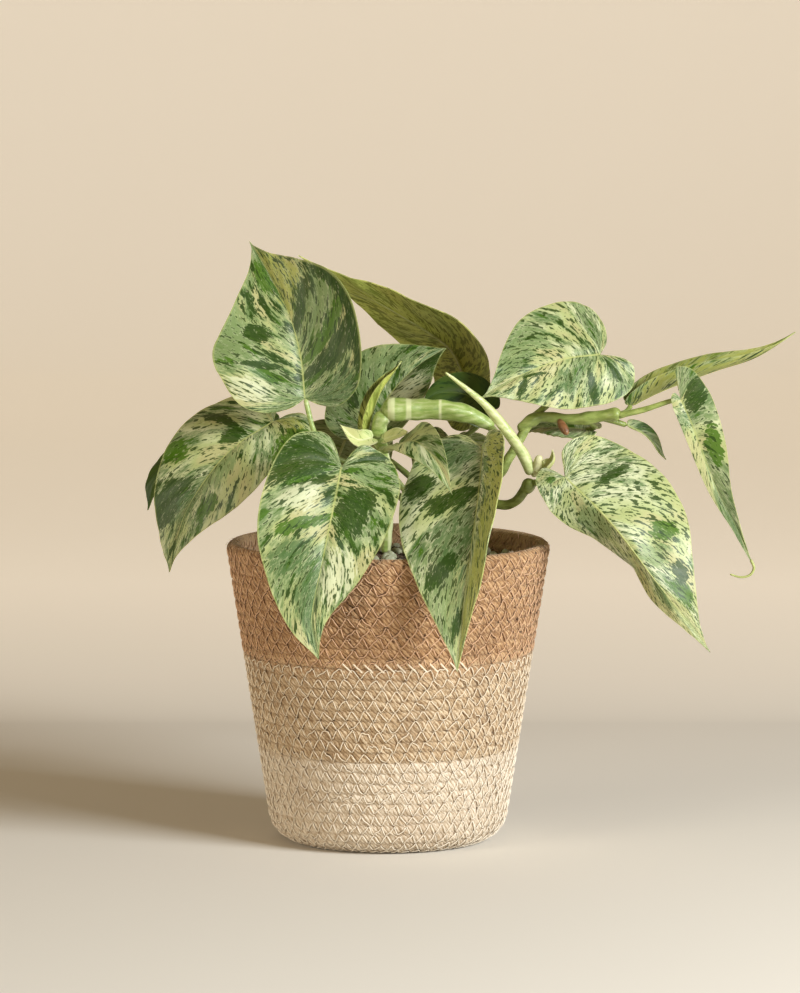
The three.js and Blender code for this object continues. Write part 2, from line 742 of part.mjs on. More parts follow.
// A petiole runs on towards the base of its blade until only the clearance is left between them
function petiole(leaf) {
  const blade = toSolid(BLADE_GEOMETRY.get(leaf.name));
  const base = new THREE.Vector3(...leaf.rib[0]);
  const way = base.clone().sub(new THREE.Vector3(...leaf.from[leaf.from.length - 1])).normalize();
  const radii = PETIOLE_TAPER.map((share) => share * PETIOLE_RADIUS);
  let stalk;
  let setBack = BLADE_THICKNESS / 2;
  do {
    setBack += SEAT_STEP;
    const end = base.clone().addScaledVector(way, -setBack);
    stalk = tube([...leaf.from, end.toArray()], radii, PETIOLE_SIDES, PETIOLE_STEP);
  } while (toSolid(stalk).minGap(blade, 1) < GAP);
  return stalk;
}

function stemGeometry(name, { foot, runs, nodes }) {
  const height = STEM_UPRIGHT_TO - STEM_BURIED;
  const buried = uprightRod(foot, STEM_RADIUS, STEM_BURIED, height);
  const swellings = nodes.map(([place, radius]) => (
    new THREE.SphereGeometry(radius, 8, 6).translate(...place)
  ));
  const stalks = BLADES.filter((leaf) => leaf.stem === name).map(petiole);
  const stretches = runs.map(({ path, radii }) => tube(path, radii));
  return toGeometry(joinAll([buried, ...stretches, ...swellings, ...stalks]));
}

// Soil fills the grow pot, and the dressing covers it up to the basket's wall; both have plain holes
const withStemHoles = (solid) => Object.values(STEMS).reduce((cut, { foot }) => {
  const depth = BASKET_HEIGHT - STEM_BURIED;
  const hole = uprightRod(foot, STEM_RADIUS + HOLE_CLEARANCE, STEM_BURIED - GAP, depth);
  return cut.subtract(toSolid(hole));
}, solid);

function soil() {
  const inner = (height) => insideRadius(height) - 2 * GAP - GROW_POT_WALL;
  const floor = ROPE + GROW_POT_WALL + 2 * GAP;
  const shoulder = GROW_POT_SHOULDER + GROW_POT_WALL;
  const outline = [
    new THREE.Vector2(0, floor),
    new THREE.Vector2(CORNER_CENTRE - GROW_POT_WALL, floor),
    new THREE.Vector2(inner(shoulder), shoulder),
    new THREE.Vector2(inner(GROW_POT_TOP), GROW_POT_TOP),
    new THREE.Vector2(0, GROW_POT_TOP),
    new THREE.Vector2(0, floor),
  ];
  return toGeometry(withStemHoles(toSolid(turnedOnAxis(outline))));
}

const DRESSING_RADIUS = insideRadius(GROW_POT_TOP) - GAP;
const dressingTop = (radius) => (
  DRESSING_CROWN - (DRESSING_CROWN - DRESSING_EDGE) * (radius / DRESSING_RADIUS) ** 2
);

function topDressing() {
  const underside = GROW_POT_TOP + GAP;
  const outline = [new THREE.Vector2(0, underside), new THREE.Vector2(DRESSING_RADIUS, underside)];
  for (const share of [1, 0.75, 0.5, 0.25, 0]) {
    outline.push(new THREE.Vector2(DRESSING_RADIUS * share, dressingTop(DRESSING_RADIUS * share)));
  }
  outline.push(outline[0].clone());
  let bed = toSolid(turnedOnAxis(outline));
  const random = seededRandom(7);
  for (let pebble = 0; pebble < PEBBLES; pebble += 1) {
    const size = THREE.MathUtils.lerp(...PEBBLE_SIZE, random());
    const radius = (DRESSING_RADIUS - PEBBLE_SIZE[1] - 1) * Math.sqrt((pebble + 0.5) / PEBBLES);
    const angle = pebble * GOLDEN_ANGLE + random() * PEBBLE_JITTER;
    const [x, y] = [radius * Math.cos(angle), radius * Math.sin(angle)];
    const stone = new THREE.IcosahedronGeometry(size, 0).scale(...PEBBLE_SHAPE);
    stone.rotateX(random() * PEBBLE_TILT).rotateZ(random() * Math.PI);
    stone.translate(x, y, dressingTop(radius) + size * PEBBLE_RAISE);
    const clear = Object.values(STEMS).every(({ foot }) => (
      Math.hypot(foot[0] - x, foot[1] - y) > size + STEM_RADIUS + 2 * HOLE_CLEARANCE
    ));
    if (clear) bed = bed.add(toSolid(stone));
  }
  return toGeometry(withStemHoles(bed));
}

addMesh('soil', soil(), MATERIALS.soil);
addMesh('top_dressing', topDressing(), MATERIALS.dressing);

for (const [name, stem] of Object.entries(STEMS)) {
  addMesh(`stem_${name}`, stemGeometry(name, stem), MATERIALS.stem);
}

for (const { name, finish = 'leaf' } of BLADES) {
  addMesh(name, BLADE_GEOMETRY.get(name), MATERIALS[finish]);
}

addMesh('shoot_rolled', tube(SHOOT.path, SHOOT.radii), MATERIALS.paleShoot);

export default plant;
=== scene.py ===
"""A potted variegated heartleaf philodendron in a coiled rope basket, dressed for a still-life view.

Sizes are in millimetres and are turned into metres where a mesh is laid.
"""

import logging
import math
from dataclasses import dataclass, field
from enum import Enum
from typing import Callable, Iterable, Sequence

import bpy
import numpy as np
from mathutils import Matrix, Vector


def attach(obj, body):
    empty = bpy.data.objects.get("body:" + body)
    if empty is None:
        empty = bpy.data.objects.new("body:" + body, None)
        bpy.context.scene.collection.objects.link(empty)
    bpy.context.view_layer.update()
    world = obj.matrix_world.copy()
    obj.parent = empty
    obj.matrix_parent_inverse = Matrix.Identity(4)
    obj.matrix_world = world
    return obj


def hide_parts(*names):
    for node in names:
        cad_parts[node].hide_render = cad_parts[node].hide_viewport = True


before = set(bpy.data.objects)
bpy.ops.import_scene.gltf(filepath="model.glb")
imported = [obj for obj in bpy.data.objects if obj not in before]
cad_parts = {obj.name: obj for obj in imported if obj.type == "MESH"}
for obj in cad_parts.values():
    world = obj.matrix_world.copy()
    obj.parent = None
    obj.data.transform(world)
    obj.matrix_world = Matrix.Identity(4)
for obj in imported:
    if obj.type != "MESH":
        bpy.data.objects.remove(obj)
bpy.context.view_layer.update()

LOG = logging.getLogger("potted_plant")
MM = 0.001
TURN = 2 * math.pi
GOLDEN_SHARE = 0.618
BODY = "root"

Colour = tuple[float, float, float]
Point = tuple[float, float, float]
Pair = tuple[float, float]
Array = np.ndarray
Rule = Callable[[Array, Array], Array]


def srgb(red: int, green: int, blue: int) -> Colour:
    """Turns a colour picked on a screen into the linear one that a shader takes.

    Args:
        red: Red, 0 to 255.
        green: Green, 0 to 255.
        blue: Blue, 0 to 255.

    Returns:
        The linear colour.
    """
    def linear(value: int) -> float:
        """One channel made linear."""
        share = value / 255
        return share / 12.92 if share <= 0.04045 else ((share + 0.055) / 1.055) ** 2.4

    return linear(red), linear(green), linear(blue)


# Curves and noise


class SmoothPath:
    """A uniform Catmull-Rom curve through given points, with its length measured along it."""

    SAMPLES = 400

    def __init__(self, points: Sequence[Sequence[float]]) -> None:
        """Measures the curve.

        Args:
            points: The points that it runs through, in order.
        """
        self.points = np.array(points, float)
        first = 2 * self.points[0] - self.points[1]
        last = 2 * self.points[-1] - self.points[-2]
        self.guides = np.vstack([first, self.points, last])
        samples = self.at(np.linspace(0, 1, self.SAMPLES + 1))
        steps = np.linalg.norm(np.diff(samples, axis=0), axis=1)
        self.distances = np.concatenate([[0.0], np.cumsum(steps)])
        self.length = float(self.distances[-1])

    def at(self, share: Array) -> Array:
        """Points at shares of the way through the list of points.

        Args:
            share: Shares from 0 to 1.

        Returns:
            One point for each share.
        """
        place = np.clip(share, 0, 1) * (len(self.points) - 1)
        low = np.minimum(place.astype(int), len(self.points) - 2)
        t = (place - low)[..., None]
        before, start, end, after = (self.guides[low + step] for step in range(4))
        leave, arrive = (end - before) / 2, (after - start) / 2
        square = -3 * start + 3 * end - 2 * leave - arrive
        cube = 2 * start - 2 * end + leave + arrive
        return start + leave * t + square * t ** 2 + cube * t ** 3

    def along(self, distance: Array) -> Array:
        """Points at distances from the start, measured along the curve."""
        shares = np.linspace(0, 1, self.SAMPLES + 1)
        return self.at(np.interp(distance, self.distances, shares))

    def direction(self, distance: Array) -> Array:
        """Unit directions at places on the curve.

        Args:
            distance: Distances from the start, measured along the curve.

        Returns:
            One direction for each distance.
        """
        reach = self.length / self.SAMPLES
        ahead = self.along(np.minimum(distance + reach, self.length))
        behind = self.along(np.maximum(distance - reach, 0))
        return unit(ahead - behind)


def unit(vectors: Array) -> Array:
    """Vectors brought to length 1."""
    return vectors / np.maximum(np.linalg.norm(vectors, axis=-1, keepdims=True), 1e-9)


def wander(x: Array, y: Array, seed: int, waves: int = 6) -> Array:
    """A smooth random field, about 1 in size, from a few seeded waves.

    Args:
        x: Places along one axis, in wavelengths.
        y: Places along the other, in wavelengths.
        seed: Which field.
        waves: How many waves it sums.

    Returns:
        The field's value at each place.
    """
    random = np.random.default_rng(seed)
    total = np.zeros(np.broadcast(x, y).shape)
    for _ in range(waves):
        angle, phase, pitch = random.uniform(0, TURN), random.uniform(0, TURN), random.uniform(0.6, 1.6)
        total = total + np.sin(pitch * TURN * (x * math.cos(angle) + y * math.sin(angle)) + phase)
    return total / math.sqrt(waves)


def value_along(value: float | Sequence[float], share: Array) -> Array:
    """A number, or the one that a list of numbers gives at shares of the way through it.

    Args:
        value: The number or the list.
        share: Shares from 0 to 1.

    Returns:
        One number for each share.
    """
    if isinstance(value, (int, float)):
        return np.full(np.shape(share), float(value))
    return np.interp(share, np.linspace(0, 1, len(value)), value)


def spoke(first: Array, second: Array, turn: Array) -> Array:
    """Unit directions at whole turns from a first direction by a second one square to it."""
    angle = (turn * TURN)[:, None]
    return first * np.cos(angle) + second * np.sin(angle)


def round_axis(radius: Array, turn: Array, height: Array) -> Array:
    """Points about the upright axis.

    Args:
        radius: Their distances from the axis.
        turn: Their places round it, in whole turns.
        height: Their heights.

    Returns:
        One point for each.
    """
    angle = turn * TURN
    return np.column_stack([radius * np.cos(angle), radius * np.sin(angle), height])


# Meshes


def only(piece: bpy.types.Object) -> None:
    """Selects one piece alone and makes it the active one.

    Args:
        piece: The piece.
    """
    bpy.ops.object.select_all(action="DESELECT")
    piece.select_set(True)
    bpy.context.view_layer.objects.active = piece


def linked(name: str, data: bpy.types.ID) -> bpy.types.Object:
    """Puts a new object into the scene.

    Args:
        name: Its name.
        data: Its mesh, lamp or camera.

    Returns:
        The object.
    """
    thing = bpy.data.objects.new(name, data)
    bpy.context.collection.objects.link(thing)
    return thing


def apply_modifier(piece: bpy.types.Object, kind: str, **settings: object) -> None:
    """Adds a modifier with the settings given, and applies it.

    Args:
        piece: The piece to change.
        kind: The modifier's type.
        settings: Its settings by name.
    """
    only(piece)
    modifier = piece.modifiers.new(kind.title(), kind)
    for name, value in settings.items():
        setattr(modifier, name, value)
    bpy.ops.object.modifier_apply(modifier=modifier.name)


def edit(piece: bpy.types.Object, *steps: Callable[[], object]) -> None:
    """Runs operators on the whole of a mesh in edit mode.

    Args:
        piece: The piece.
        steps: The operators, in order.
    """
    only(piece)
    bpy.ops.object.mode_set(mode="EDIT")
    bpy.ops.mesh.select_all(action="SELECT")
    for step in steps:
        step()
    bpy.ops.object.mode_set(mode="OBJECT")


def weld(piece: bpy.types.Object, distance: float = 1e-6) -> None:
    """Merges the points of a mesh that lie together, and drops faces that this leaves with no area."""
    edit(piece, lambda: bpy.ops.mesh.remove_doubles(threshold=distance),
         lambda: bpy.ops.mesh.dissolve_degenerate(threshold=distance))


def laid_grid(name: str, columns: int, rows: int, place: Rule,
              marks: Callable[[Array, Array], dict[str, Array]] | None = None) -> bpy.types.Object:
    """A grid primitive whose points are laid where a rule puts them.

    Args:
        name: The piece's name.
        columns: Faces across.
        rows: Faces along.
        place: Gives the points in millimetres, from shares across and along.
        marks: Gives the values of attributes by name, from the same shares.

    Returns:
        The piece, with a UV map of the same shares.
    """
    bpy.ops.object.select_all(action="DESELECT")
    bpy.ops.mesh.primitive_grid_add(x_subdivisions=columns, y_subdivisions=rows, size=2, location=(0, 0, 0))
    piece = bpy.context.object
    piece.name = piece.data.name = name
    flat = np.empty(len(piece.data.vertices) * 3)
    piece.data.vertices.foreach_get("co", flat)
    flat = flat.reshape(-1, 3)
    across, along = (flat[:, 0] + 1) / 2, (flat[:, 1] + 1) / 2
    points = place(across, along) * MM
    piece.data.vertices.foreach_set("co", points.ravel())
    for mark, values in (marks(across, along) if marks else {}).items():
        piece.data.attributes.new(mark, "FLOAT", "POINT").data.foreach_set("value", values)
    piece.data.uv_layers[0].name = "lay"
    piece.data.update()
    return piece


def smooth(piece: bpy.types.Object, sharp: float = 180) -> bpy.types.Object:
    """Shades a piece smooth.

    Args:
        piece: The piece.
        sharp: Angle in degrees above which an edge stays sharp.

    Returns:
        The piece.
    """
    only(piece)
    if sharp >= 180:
        bpy.ops.object.shade_smooth()
    else:
        bpy.ops.object.shade_smooth_by_angle(angle=math.radians(sharp))
    return piece


def closed(piece: bpy.types.Object, sharp: float = 180) -> bpy.types.Object:
    """Closes a mesh's seams and poles, turns its faces out and shades it smooth.

    Args:
        piece: The piece.
        sharp: Angle in degrees above which an edge stays sharp.

    Returns:
        The piece.
    """
    weld(piece)
    edit(piece, lambda: bpy.ops.mesh.normals_make_consistent(inside=False))
    return smooth(piece, sharp)


def join(pieces: Sequence[bpy.types.Object], name: str) -> bpy.types.Object:
    """Joins pieces into the first of them.

    Args:
        pieces: What to join.
        name: The joined piece's name.

    Returns:
        The joined piece.
    """
    bpy.ops.object.select_all(action="DESELECT")
    for piece in pieces:
        piece.select_set(True)
    bpy.context.view_layer.objects.active = pieces[0]
    if len(pieces) > 1:
        bpy.ops.object.join()
    joined = bpy.context.object
    joined.name = joined.data.name = name
    return joined


def copies(template: bpy.types.Object, name: str, frames: Array) -> bpy.types.Object:
    """One mesh that holds a copy of a template at each of many frames.

    Args:
        template: The piece that repeats; it is removed.
        name: The new piece's name.
        frames: A 3 by 4 matrix for each copy, its last column in metres.

    Returns:
        The new piece.
    """
    source = template.data
    count = len(source.vertices)
    corners = np.empty(count * 3)
    source.vertices.foreach_get("co", corners)
    corners = np.column_stack([corners.reshape(-1, 3), np.ones(count)])
    points = np.einsum("kij,nj->kni", frames, corners).reshape(-1, 3)
    faces = [tuple(face.vertices) for face in source.polygons]
    repeated = [
        tuple(corner + copy * count for corner in face) for copy in range(len(frames)) for face in faces
    ]
    mesh = bpy.data.meshes.new(name)
    mesh.from_pydata(points, [], repeated)
    shade = mesh.attributes.new("copy", "FLOAT", "FACE")
    shade.data.foreach_set("value", np.repeat((np.arange(len(frames)) * GOLDEN_SHARE) % 1, len(faces)))
    mesh.update()
    piece = linked(name, mesh)
    bpy.data.objects.remove(template)
    return smooth(piece)


def dress(piece: bpy.types.Object, material: bpy.types.Material) -> None:
    """Gives a piece one material in place of those that it has."""
    piece.data.materials.clear()
    piece.data.materials.append(material)


def settle(piece: bpy.types.Object, slot: str, material: bpy.types.Material | None, *nodes: str) -> None:
    """Finishes a piece: its material, the body it rides on and the nodes that it stands for.

    Args:
        piece: The piece.
        slot: The record's material slot; not used.
        material: Its material, or None to keep those that it has.
        nodes: The CAD nodes that it replaces.
    """
    if material is not None:
        dress(piece, material)
    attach(piece, BODY)
    if nodes:
        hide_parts(*nodes)
    LOG.info("%s: %d faces", piece.name, len(piece.data.polygons))


# Finishes


class Graph:
    """The node tree of one material, built by short calls."""

    def __init__(self, name: str, **uniform: object) -> None:
        """Starts a material with one shader.

        Args:
            name: The material's name.
            uniform: Values of the shader that are the same all over, by input name with _ for a space.
        """
        self.material = bpy.data.materials.new(name)
        self.material.use_nodes = True
        self.tree = self.material.node_tree
        self.tree.nodes.clear()
        self.shader = self.add("BsdfPrincipled")
        output = self.add("OutputMaterial")
        self.tree.links.new(self.shader.outputs[0], output.inputs["Surface"])
        for key, value in uniform.items():
            self.shader.inputs[key.replace("_", " ")].default_value = value

    def add(self, kind: str, inputs: dict | None = None, **settings: object) -> bpy.types.Node:
        """Adds a node.

        Args:
            kind: Its type, without the ShaderNode in front.
            inputs: Sockets to link or values to set, by input name or number.
            settings: The node's own settings.

        Returns:
            The node.
        """
        node = self.tree.nodes.new("ShaderNode" + kind)
        for key, value in settings.items():
            setattr(node, key, value)
        for key, value in (inputs or {}).items():
            if isinstance(value, bpy.types.NodeSocket):
                self.tree.links.new(value, node.inputs[key])
            elif isinstance(value, tuple) and len(value) == 3 and node.inputs[key].type == "RGBA":
                node.inputs[key].default_value = (*value, 1)
            else:
                node.inputs[key].default_value = value
        return node

    def math(self, operation: str, first: object, second: object = 0.0, third: object = 0.0) -> object:
        """A number worked out from up to three others."""
        return self.add("Math", {0: first, 1: second, 2: third}, operation=operation).outputs[0]

    def place(self, vector: object, scale: Point, move: Point = (0, 0, 0)) -> object:
        """Coordinates scaled, then moved."""
        return self.add("Mapping", {"Vector": vector, "Scale": scale, "Location": move}).outputs[0]

    def noise(self, vector: object, scale: float, detail: float = 2, roughness: float = 0.5) -> object:
        """Noise from about 0 to 1, in features of 1/scale."""
        inputs = {"Vector": vector, "Scale": scale, "Detail": detail, "Roughness": roughness}
        return self.add("TexNoise", inputs).outputs["Fac"]

    def step(self, value: object, low: float, high: float) -> object:
        """0 below low, 1 above high and a smooth rise between them; high may be the lower one."""
        inputs = {"Value": value, "From Min": low, "From Max": high}
        return self.add("MapRange", inputs, interpolation_type="SMOOTHSTEP").outputs[0]

    def ramp(self, value: object, low: float, high: float) -> object:
        """0 up to low, 1 from high on and a straight rise between them."""
        return self.add("MapRange", {0: value, 1: low, 2: high}).outputs[0]

    def mix(self, factor: object, first: object, second: object) -> object:
        """One colour laid over another."""
        return self.add("Mix", {0: factor, 6: first, 7: second}, data_type="RGBA").outputs[2]

    def layered(self, colour: object, *layers: tuple[object, float, object]) -> object:
        """Lays tones over a colour in turn.

        Args:
            colour: The colour to start from.
            layers: For each, the mask that shows it, its strength and its tone.

        Returns:
            The colour with the layers.
        """
        for mask, strength, tone in layers:
            colour = self.mix(self.math("MULTIPLY", mask, strength), colour, tone)
        return colour

    def attribute(self, name: str) -> object:
        """A value that the mesh holds for each of its points or faces."""
        return self.add("Attribute", attribute_name=name).outputs["Fac"]

    def lay(self) -> object:
        """The piece's own UV map, which gives shares across and along."""
        return self.add("UVMap", uv_map="lay").outputs[0]

    def feed(self, name: str, value: object) -> None:
        """Links a socket to one of the shader's inputs."""
        self.tree.links.new(value, self.shader.inputs[name])

    def bump(self, height: object, distance: float, strength: float = 1) -> None:
        """Raises the surface by a pattern, over a distance in metres."""
        inputs = {"Height": height, "Distance": distance, "Strength": strength}
        self.feed("Normal", self.add("Bump", inputs).outputs[0])

    def millimetres(self) -> object:
        """Object coordinates in millimetres."""
        return self.place(self.add("TexCoord").outputs["Object"], (1000, 1000, 1000))


@dataclass(frozen=True)
class RopeFinish:
    """Twisted plant fibre: a base tone, its pale and dark fibres, the tone of the painted shade in the
    grooves and under the thread, and the neighbouring rope's fibres, each from the height where they fade
    out to that where they are thick."""

    name: str
    base: Colour
    pale: Colour
    dark: Colour
    shade: Colour
    mixed_in: tuple[tuple[float, float, Colour], ...] = ()

    def material(self, round_length: float, up_length: float) -> bpy.types.Material:
        """Makes the rope's material, with a painted highlight on the strands' crests and painted shade in
        the hollows, both read from the mesh.

        Args:
            round_length: What the UV map's first axis measures, in millimetres.
            up_length: What its second axis, along the strands, measures.

        Returns:
            The material.
        """
        graph = Graph(self.name, Roughness=0.9, Sheen_Weight=0.1, Sheen_Roughness=0.6)
        strand, depth = graph.attribute("strand"), graph.attribute("depth")
        laid = graph.place(graph.lay(), (round_length, up_length, 1))
        fibre = graph.noise(graph.place(laid, (1, 0.32, 1)), 1.25, 4, 0.65)
        whole = graph.millimetres()
        blotch = graph.noise(whole, 0.05, 3)
        colour = graph.layered(
            self.base,
            # Painted highlight on the strands' crests and painted shade between them, with each strand also
            # taking its own random tone.
            (graph.step(strand, 0.5, 1.0), 0.5, self.pale),
            (graph.step(strand, 0.4, 0.02), 0.7, self.dark),
            (graph.step(fibre, 0.52, 0.64), 0.8, self.pale),
            (graph.step(fibre, 0.47, 0.34), 0.85, self.dark),
            (graph.step(blotch, 0.48, 0.7), 0.3, self.dark),
        )
        height = graph.add("SeparateXYZ", {0: whole}).outputs[2]
        tuft = graph.step(graph.noise(whole, 1.1, 3), 0.44, 0.56)
        for none, full, tone in self.mixed_in:
            part = graph.math("MULTIPLY", graph.step(height, none, full), tuft)
            colour = graph.layered(colour, (part, 0.75, tone))
        # Painted shade: patchy dark in the grooves between rows and where the thread pulls the rope in, then
        # an even darkening there.
        hollow_shade = graph.step(graph.noise(whole, 0.5, 2), 0.5, 0.62)
        hollow_shade = graph.math("MULTIPLY", hollow_shade, graph.step(depth, 0.3, 0.85))
        colour = graph.layered(
            colour,
            (hollow_shade, 0.85, self.shade),
            (graph.step(depth, 0.45, 1.0), 0.45, self.dark),
        )
        graph.feed("Base Color", colour)
        graph.bump(fibre, 0.0006, 0.9)
        return graph.material


@dataclass(frozen=True)
class ThreadFinish:
    """Sewing thread, each stitch a little lighter or darker than the next."""

    name: str
    light: Colour
    dark: Colour

    def material(self) -> bpy.types.Material:
        """Makes the thread's material.

        Returns:
            The material.
        """
        graph = Graph(self.name, Roughness=0.7, Sheen_Weight=0.2)
        fibre = graph.noise(graph.millimetres(), 3.5, 2)
        shade = graph.math("MULTIPLY_ADD", fibre, 0.5, graph.attribute("copy"))
        graph.feed("Base Color", graph.mix(shade, self.light, self.dark))
        graph.bump(fibre, 0.0001)
        return graph.material


@dataclass(frozen=True)
class GroundFinish:
    """Soil, grit or stone: two tones by piece, speckled by a third."""

    name: str
    light: Colour
    dark: Colour
    speck: Colour
    scale: float = 1.0
    roughness: float = 0.9

    def material(self) -> bpy.types.Material:
        """Makes the ground's material.

        Returns:
            The material.
        """
        graph = Graph(self.name, Roughness=self.roughness)
        place = graph.millimetres()
        grain = graph.noise(place, self.scale, 4, 0.65)
        shade = graph.math("MULTIPLY_ADD", grain, 0.6, graph.attribute("copy"))
        colour = graph.mix(shade, self.dark, self.light)
        colour = graph.mix(graph.step(graph.noise(place, self.scale * 3.1, 2), 0.6, 0.7), colour, self.speck)
        graph.feed("Base Color", colour)
        graph.bump(grain, 0.0004)
        return graph.material


@dataclass(frozen=True)
class StemFinish:
    """Young green stem: a base tone with paler and darker streaks, and pale rings at its joints."""

    name: str
    base: Colour
    pale: Colour
    dark: Colour
    rings: tuple[Pair, ...] = ()

    def material(self) -> bpy.types.Material:
        """Makes the stem's material.

        Returns:
            The material.
        """
        graph = Graph(self.name, Roughness=0.36, Specular_IOR_Level=0.5, Coat_Weight=0.06)
        place = graph.millimetres()
        streak = graph.noise(graph.place(place, (0.25, 1, 1)), 0.55, 3)
        fine = graph.noise(graph.place(place, (0.3, 1.2, 1.2)), 2.2, 3)
        colour = graph.layered(
            self.base,
            (graph.step(streak, 0.45, 0.7), 0.55, self.pale),
            (graph.step(streak, 0.47, 0.3), 0.6, self.dark),
            (graph.step(fine, 0.6, 0.75), 0.4, self.pale),
        )
        across = graph.add("SeparateXYZ", {0: place}).outputs[0]
        for middle, half_width in self.rings:
            away = graph.math("ABSOLUTE", graph.math("SUBTRACT", across, middle))
            colour = graph.mix(graph.step(away, half_width + 0.5, half_width - 0.5), colour, self.pale)
        graph.feed("Base Color", colour)
        graph.bump(fine, 0.00015)
        return graph.material


class Tone(Enum):
    """What a patch of a marbled blade is."""

    DARK = "dark"
    GREEN = "green"
    BLUE = "blue"
    SAGE = "sage"
    CREAM = "cream"
    OLIVE = "olive"


@dataclass(frozen=True)
class Patch:
    """A ragged patch, in shares of the blade: across from the midrib, below 0 on the left, and along
    the margin from the petiole to the tip."""

    across: float
    along: float
    reach: float
    spread: float
    tone: Tone = Tone.DARK


@dataclass(frozen=True)
class BladeTones:
    """The tones of a marbled blade's upper face, and the one that its underside is dulled by."""

    cream: Colour = srgb(202, 207, 168)
    straw: Colour = srgb(168, 180, 120)
    blush: Colour = srgb(188, 174, 130)
    sage: Colour = srgb(120, 142, 90)
    blue: Colour = srgb(78, 108, 60)
    green: Colour = srgb(66, 104, 12)
    dark: Colour = srgb(34, 62, 2)
    olive: Colour = srgb(158, 164, 80)
    margin: Colour = srgb(178, 186, 116)


@dataclass(frozen=True)
class Marbling:
    """How one blade is marbled: where its random pattern starts, how much of each tone it shows, and the
    patches that stand out."""

    seed: float = 0
    sage: float = 0.5
    dark: float = 0.5
    flecks: float = 0.5
    patches: tuple[Patch, ...] = ()
    tones: BladeTones = BladeTones()

    def painted_patch(self, graph: Graph, colour: object, patch: Patch, spot: object, ragged: object,
                      threads: object) -> object:
        """Paints one patch over what is there.

        Args:
            graph: The material's nodes.
            colour: The colour so far.
            patch: The patch.
            spot: Place on the blade, from -1 to 1 across and from 0 to 1 along.
            ragged: Noise about 0 that breaks the edge up.
            threads: Noise from 0 to 1 that shows pale threads through.

        Returns:
            The colour with the patch.
        """
        move = (-patch.across / patch.reach, -patch.along / patch.spread, 0)
        place = graph.place(spot, (1 / patch.reach, 1 / patch.spread, 0), move)
        distance = graph.add("VectorMath", {0: place}, operation="LENGTH").outputs["Value"]
        distance = graph.math("ADD", distance, ragged)
        tone = getattr(self.tones, patch.tone.value)
        if patch.tone not in (Tone.DARK, Tone.GREEN):
            mask = graph.math("MULTIPLY", graph.step(distance, 1.1, 0.75), 0.85)
            mask = graph.math("MULTIPLY", mask, graph.math("MULTIPLY_ADD", threads, -0.55, 1.0))
            return graph.mix(mask, colour, tone)
        mask = graph.math("MULTIPLY", graph.step(distance, 1.02, 0.92), 0.93)
        lively = graph.mix(graph.math("MULTIPLY", threads, 0.4), tone, self.tones.green)
        return graph.mix(mask, colour, lively)

    def material(self, name: str, width: float, margin: float, under: bool) -> bpy.types.Material:
        """Makes the material of one face of the blade.

        Args:
            name: The material's name.
            width: Half width of the blade in millimetres.
            margin: Length of its margin on one side.
            under: Whether it is the lower face.

        Returns:
            The material.
        """
        tones = self.tones
        graph = Graph(name, Roughness=0.55 if under else 0.4, Specular_IOR_Level=0.25 if under else 0.34)
        across, along = graph.add("SeparateXYZ", {0: graph.lay()}).outputs[:2]
        signed = graph.math("MULTIPLY_ADD", across, 2, -1)
        away = graph.math("ABSOLUTE", signed)
        spot = graph.add("CombineXYZ", {0: signed, 1: along}).outputs[0]
        swept = graph.math("MULTIPLY_ADD", away, -STREAK_SWEEP * width / margin, along)
        place = graph.add("CombineXYZ", {0: signed, 1: swept}).outputs[0]
        place = graph.place(place, (width, margin, 1), (0, 0, self.seed * 7.3))
        broad = graph.noise(graph.place(place, (0.6, 1, 1), (5, 60, 0)), 0.06, 2)
        streak = graph.noise(graph.place(place, (0.42, 1, 1)), 0.2, 4, 0.6)
        fine = graph.noise(graph.place(place, (0.42, 1, 1), (31, 7, 0)), 0.6, 2, 0.5)
        finer = graph.noise(graph.place(place, (0.46, 1, 1), (3, 90, 0)), 1.3, 2, 0.5)
        ragged = graph.math("MULTIPLY_ADD", streak, 2.2, -1.1)
        ragged = graph.math("ADD", ragged, graph.math("MULTIPLY_ADD", fine, 1.5, -0.75))
        threads = graph.step(fine, 0.45, 0.62)
        colour = graph.mix(graph.step(broad, 0.42, 0.62), tones.straw, tones.cream)
        colour = graph.layered(colour, (graph.step(broad, 0.46, 0.34), 0.45, tones.blush))
        mottle = graph.math("ADD", graph.math("MULTIPLY", broad, 0.5), graph.math("MULTIPLY", streak, 0.5))
        sage = graph.step(mottle, 0.54 - 0.18 * self.sage, 0.62 - 0.18 * self.sage)
        sage = graph.math("MULTIPLY", sage, graph.math("MULTIPLY_ADD", threads, -0.5, 0.95))
        colour = graph.mix(sage, colour, graph.mix(graph.step(streak, 0.45, 0.65), tones.sage, tones.blue))
        dark = graph.step(streak, 0.67 - 0.2 * self.dark, 0.7 - 0.2 * self.dark)
        deep = graph.mix(graph.step(broad, 0.4, 0.6), tones.dark, tones.green)
        colour = graph.layered(colour, (dark, 0.92, deep))
        for patch in self.patches:
            colour = self.painted_patch(graph, colour, patch, spot, ragged, threads)
        nearby = graph.math("MULTIPLY", away, width)
        more = 0.14 * self.flecks
        colour = graph.layered(
            colour,
            (graph.step(finer, 0.38, 0.28), 0.4, tones.cream),
            (graph.step(finer, 0.74 - more, 0.78 - more), 0.8, tones.dark),
            (graph.step(fine, 0.67 - more, 0.7 - more), 0.9, tones.dark),
            (graph.step(nearby, 0.8, 0.3), 0.55, tones.margin),
            (graph.step(away, 0.97, 0.988), 0.45, tones.margin),
        )
        if under:
            colour = graph.mix(0.3, colour, tones.olive)
        graph.feed("Base Color", colour)
        graph.bump(graph.noise(place, 1.8, 3), 0.00012, 0.7)
        return graph.material


# Round stalks


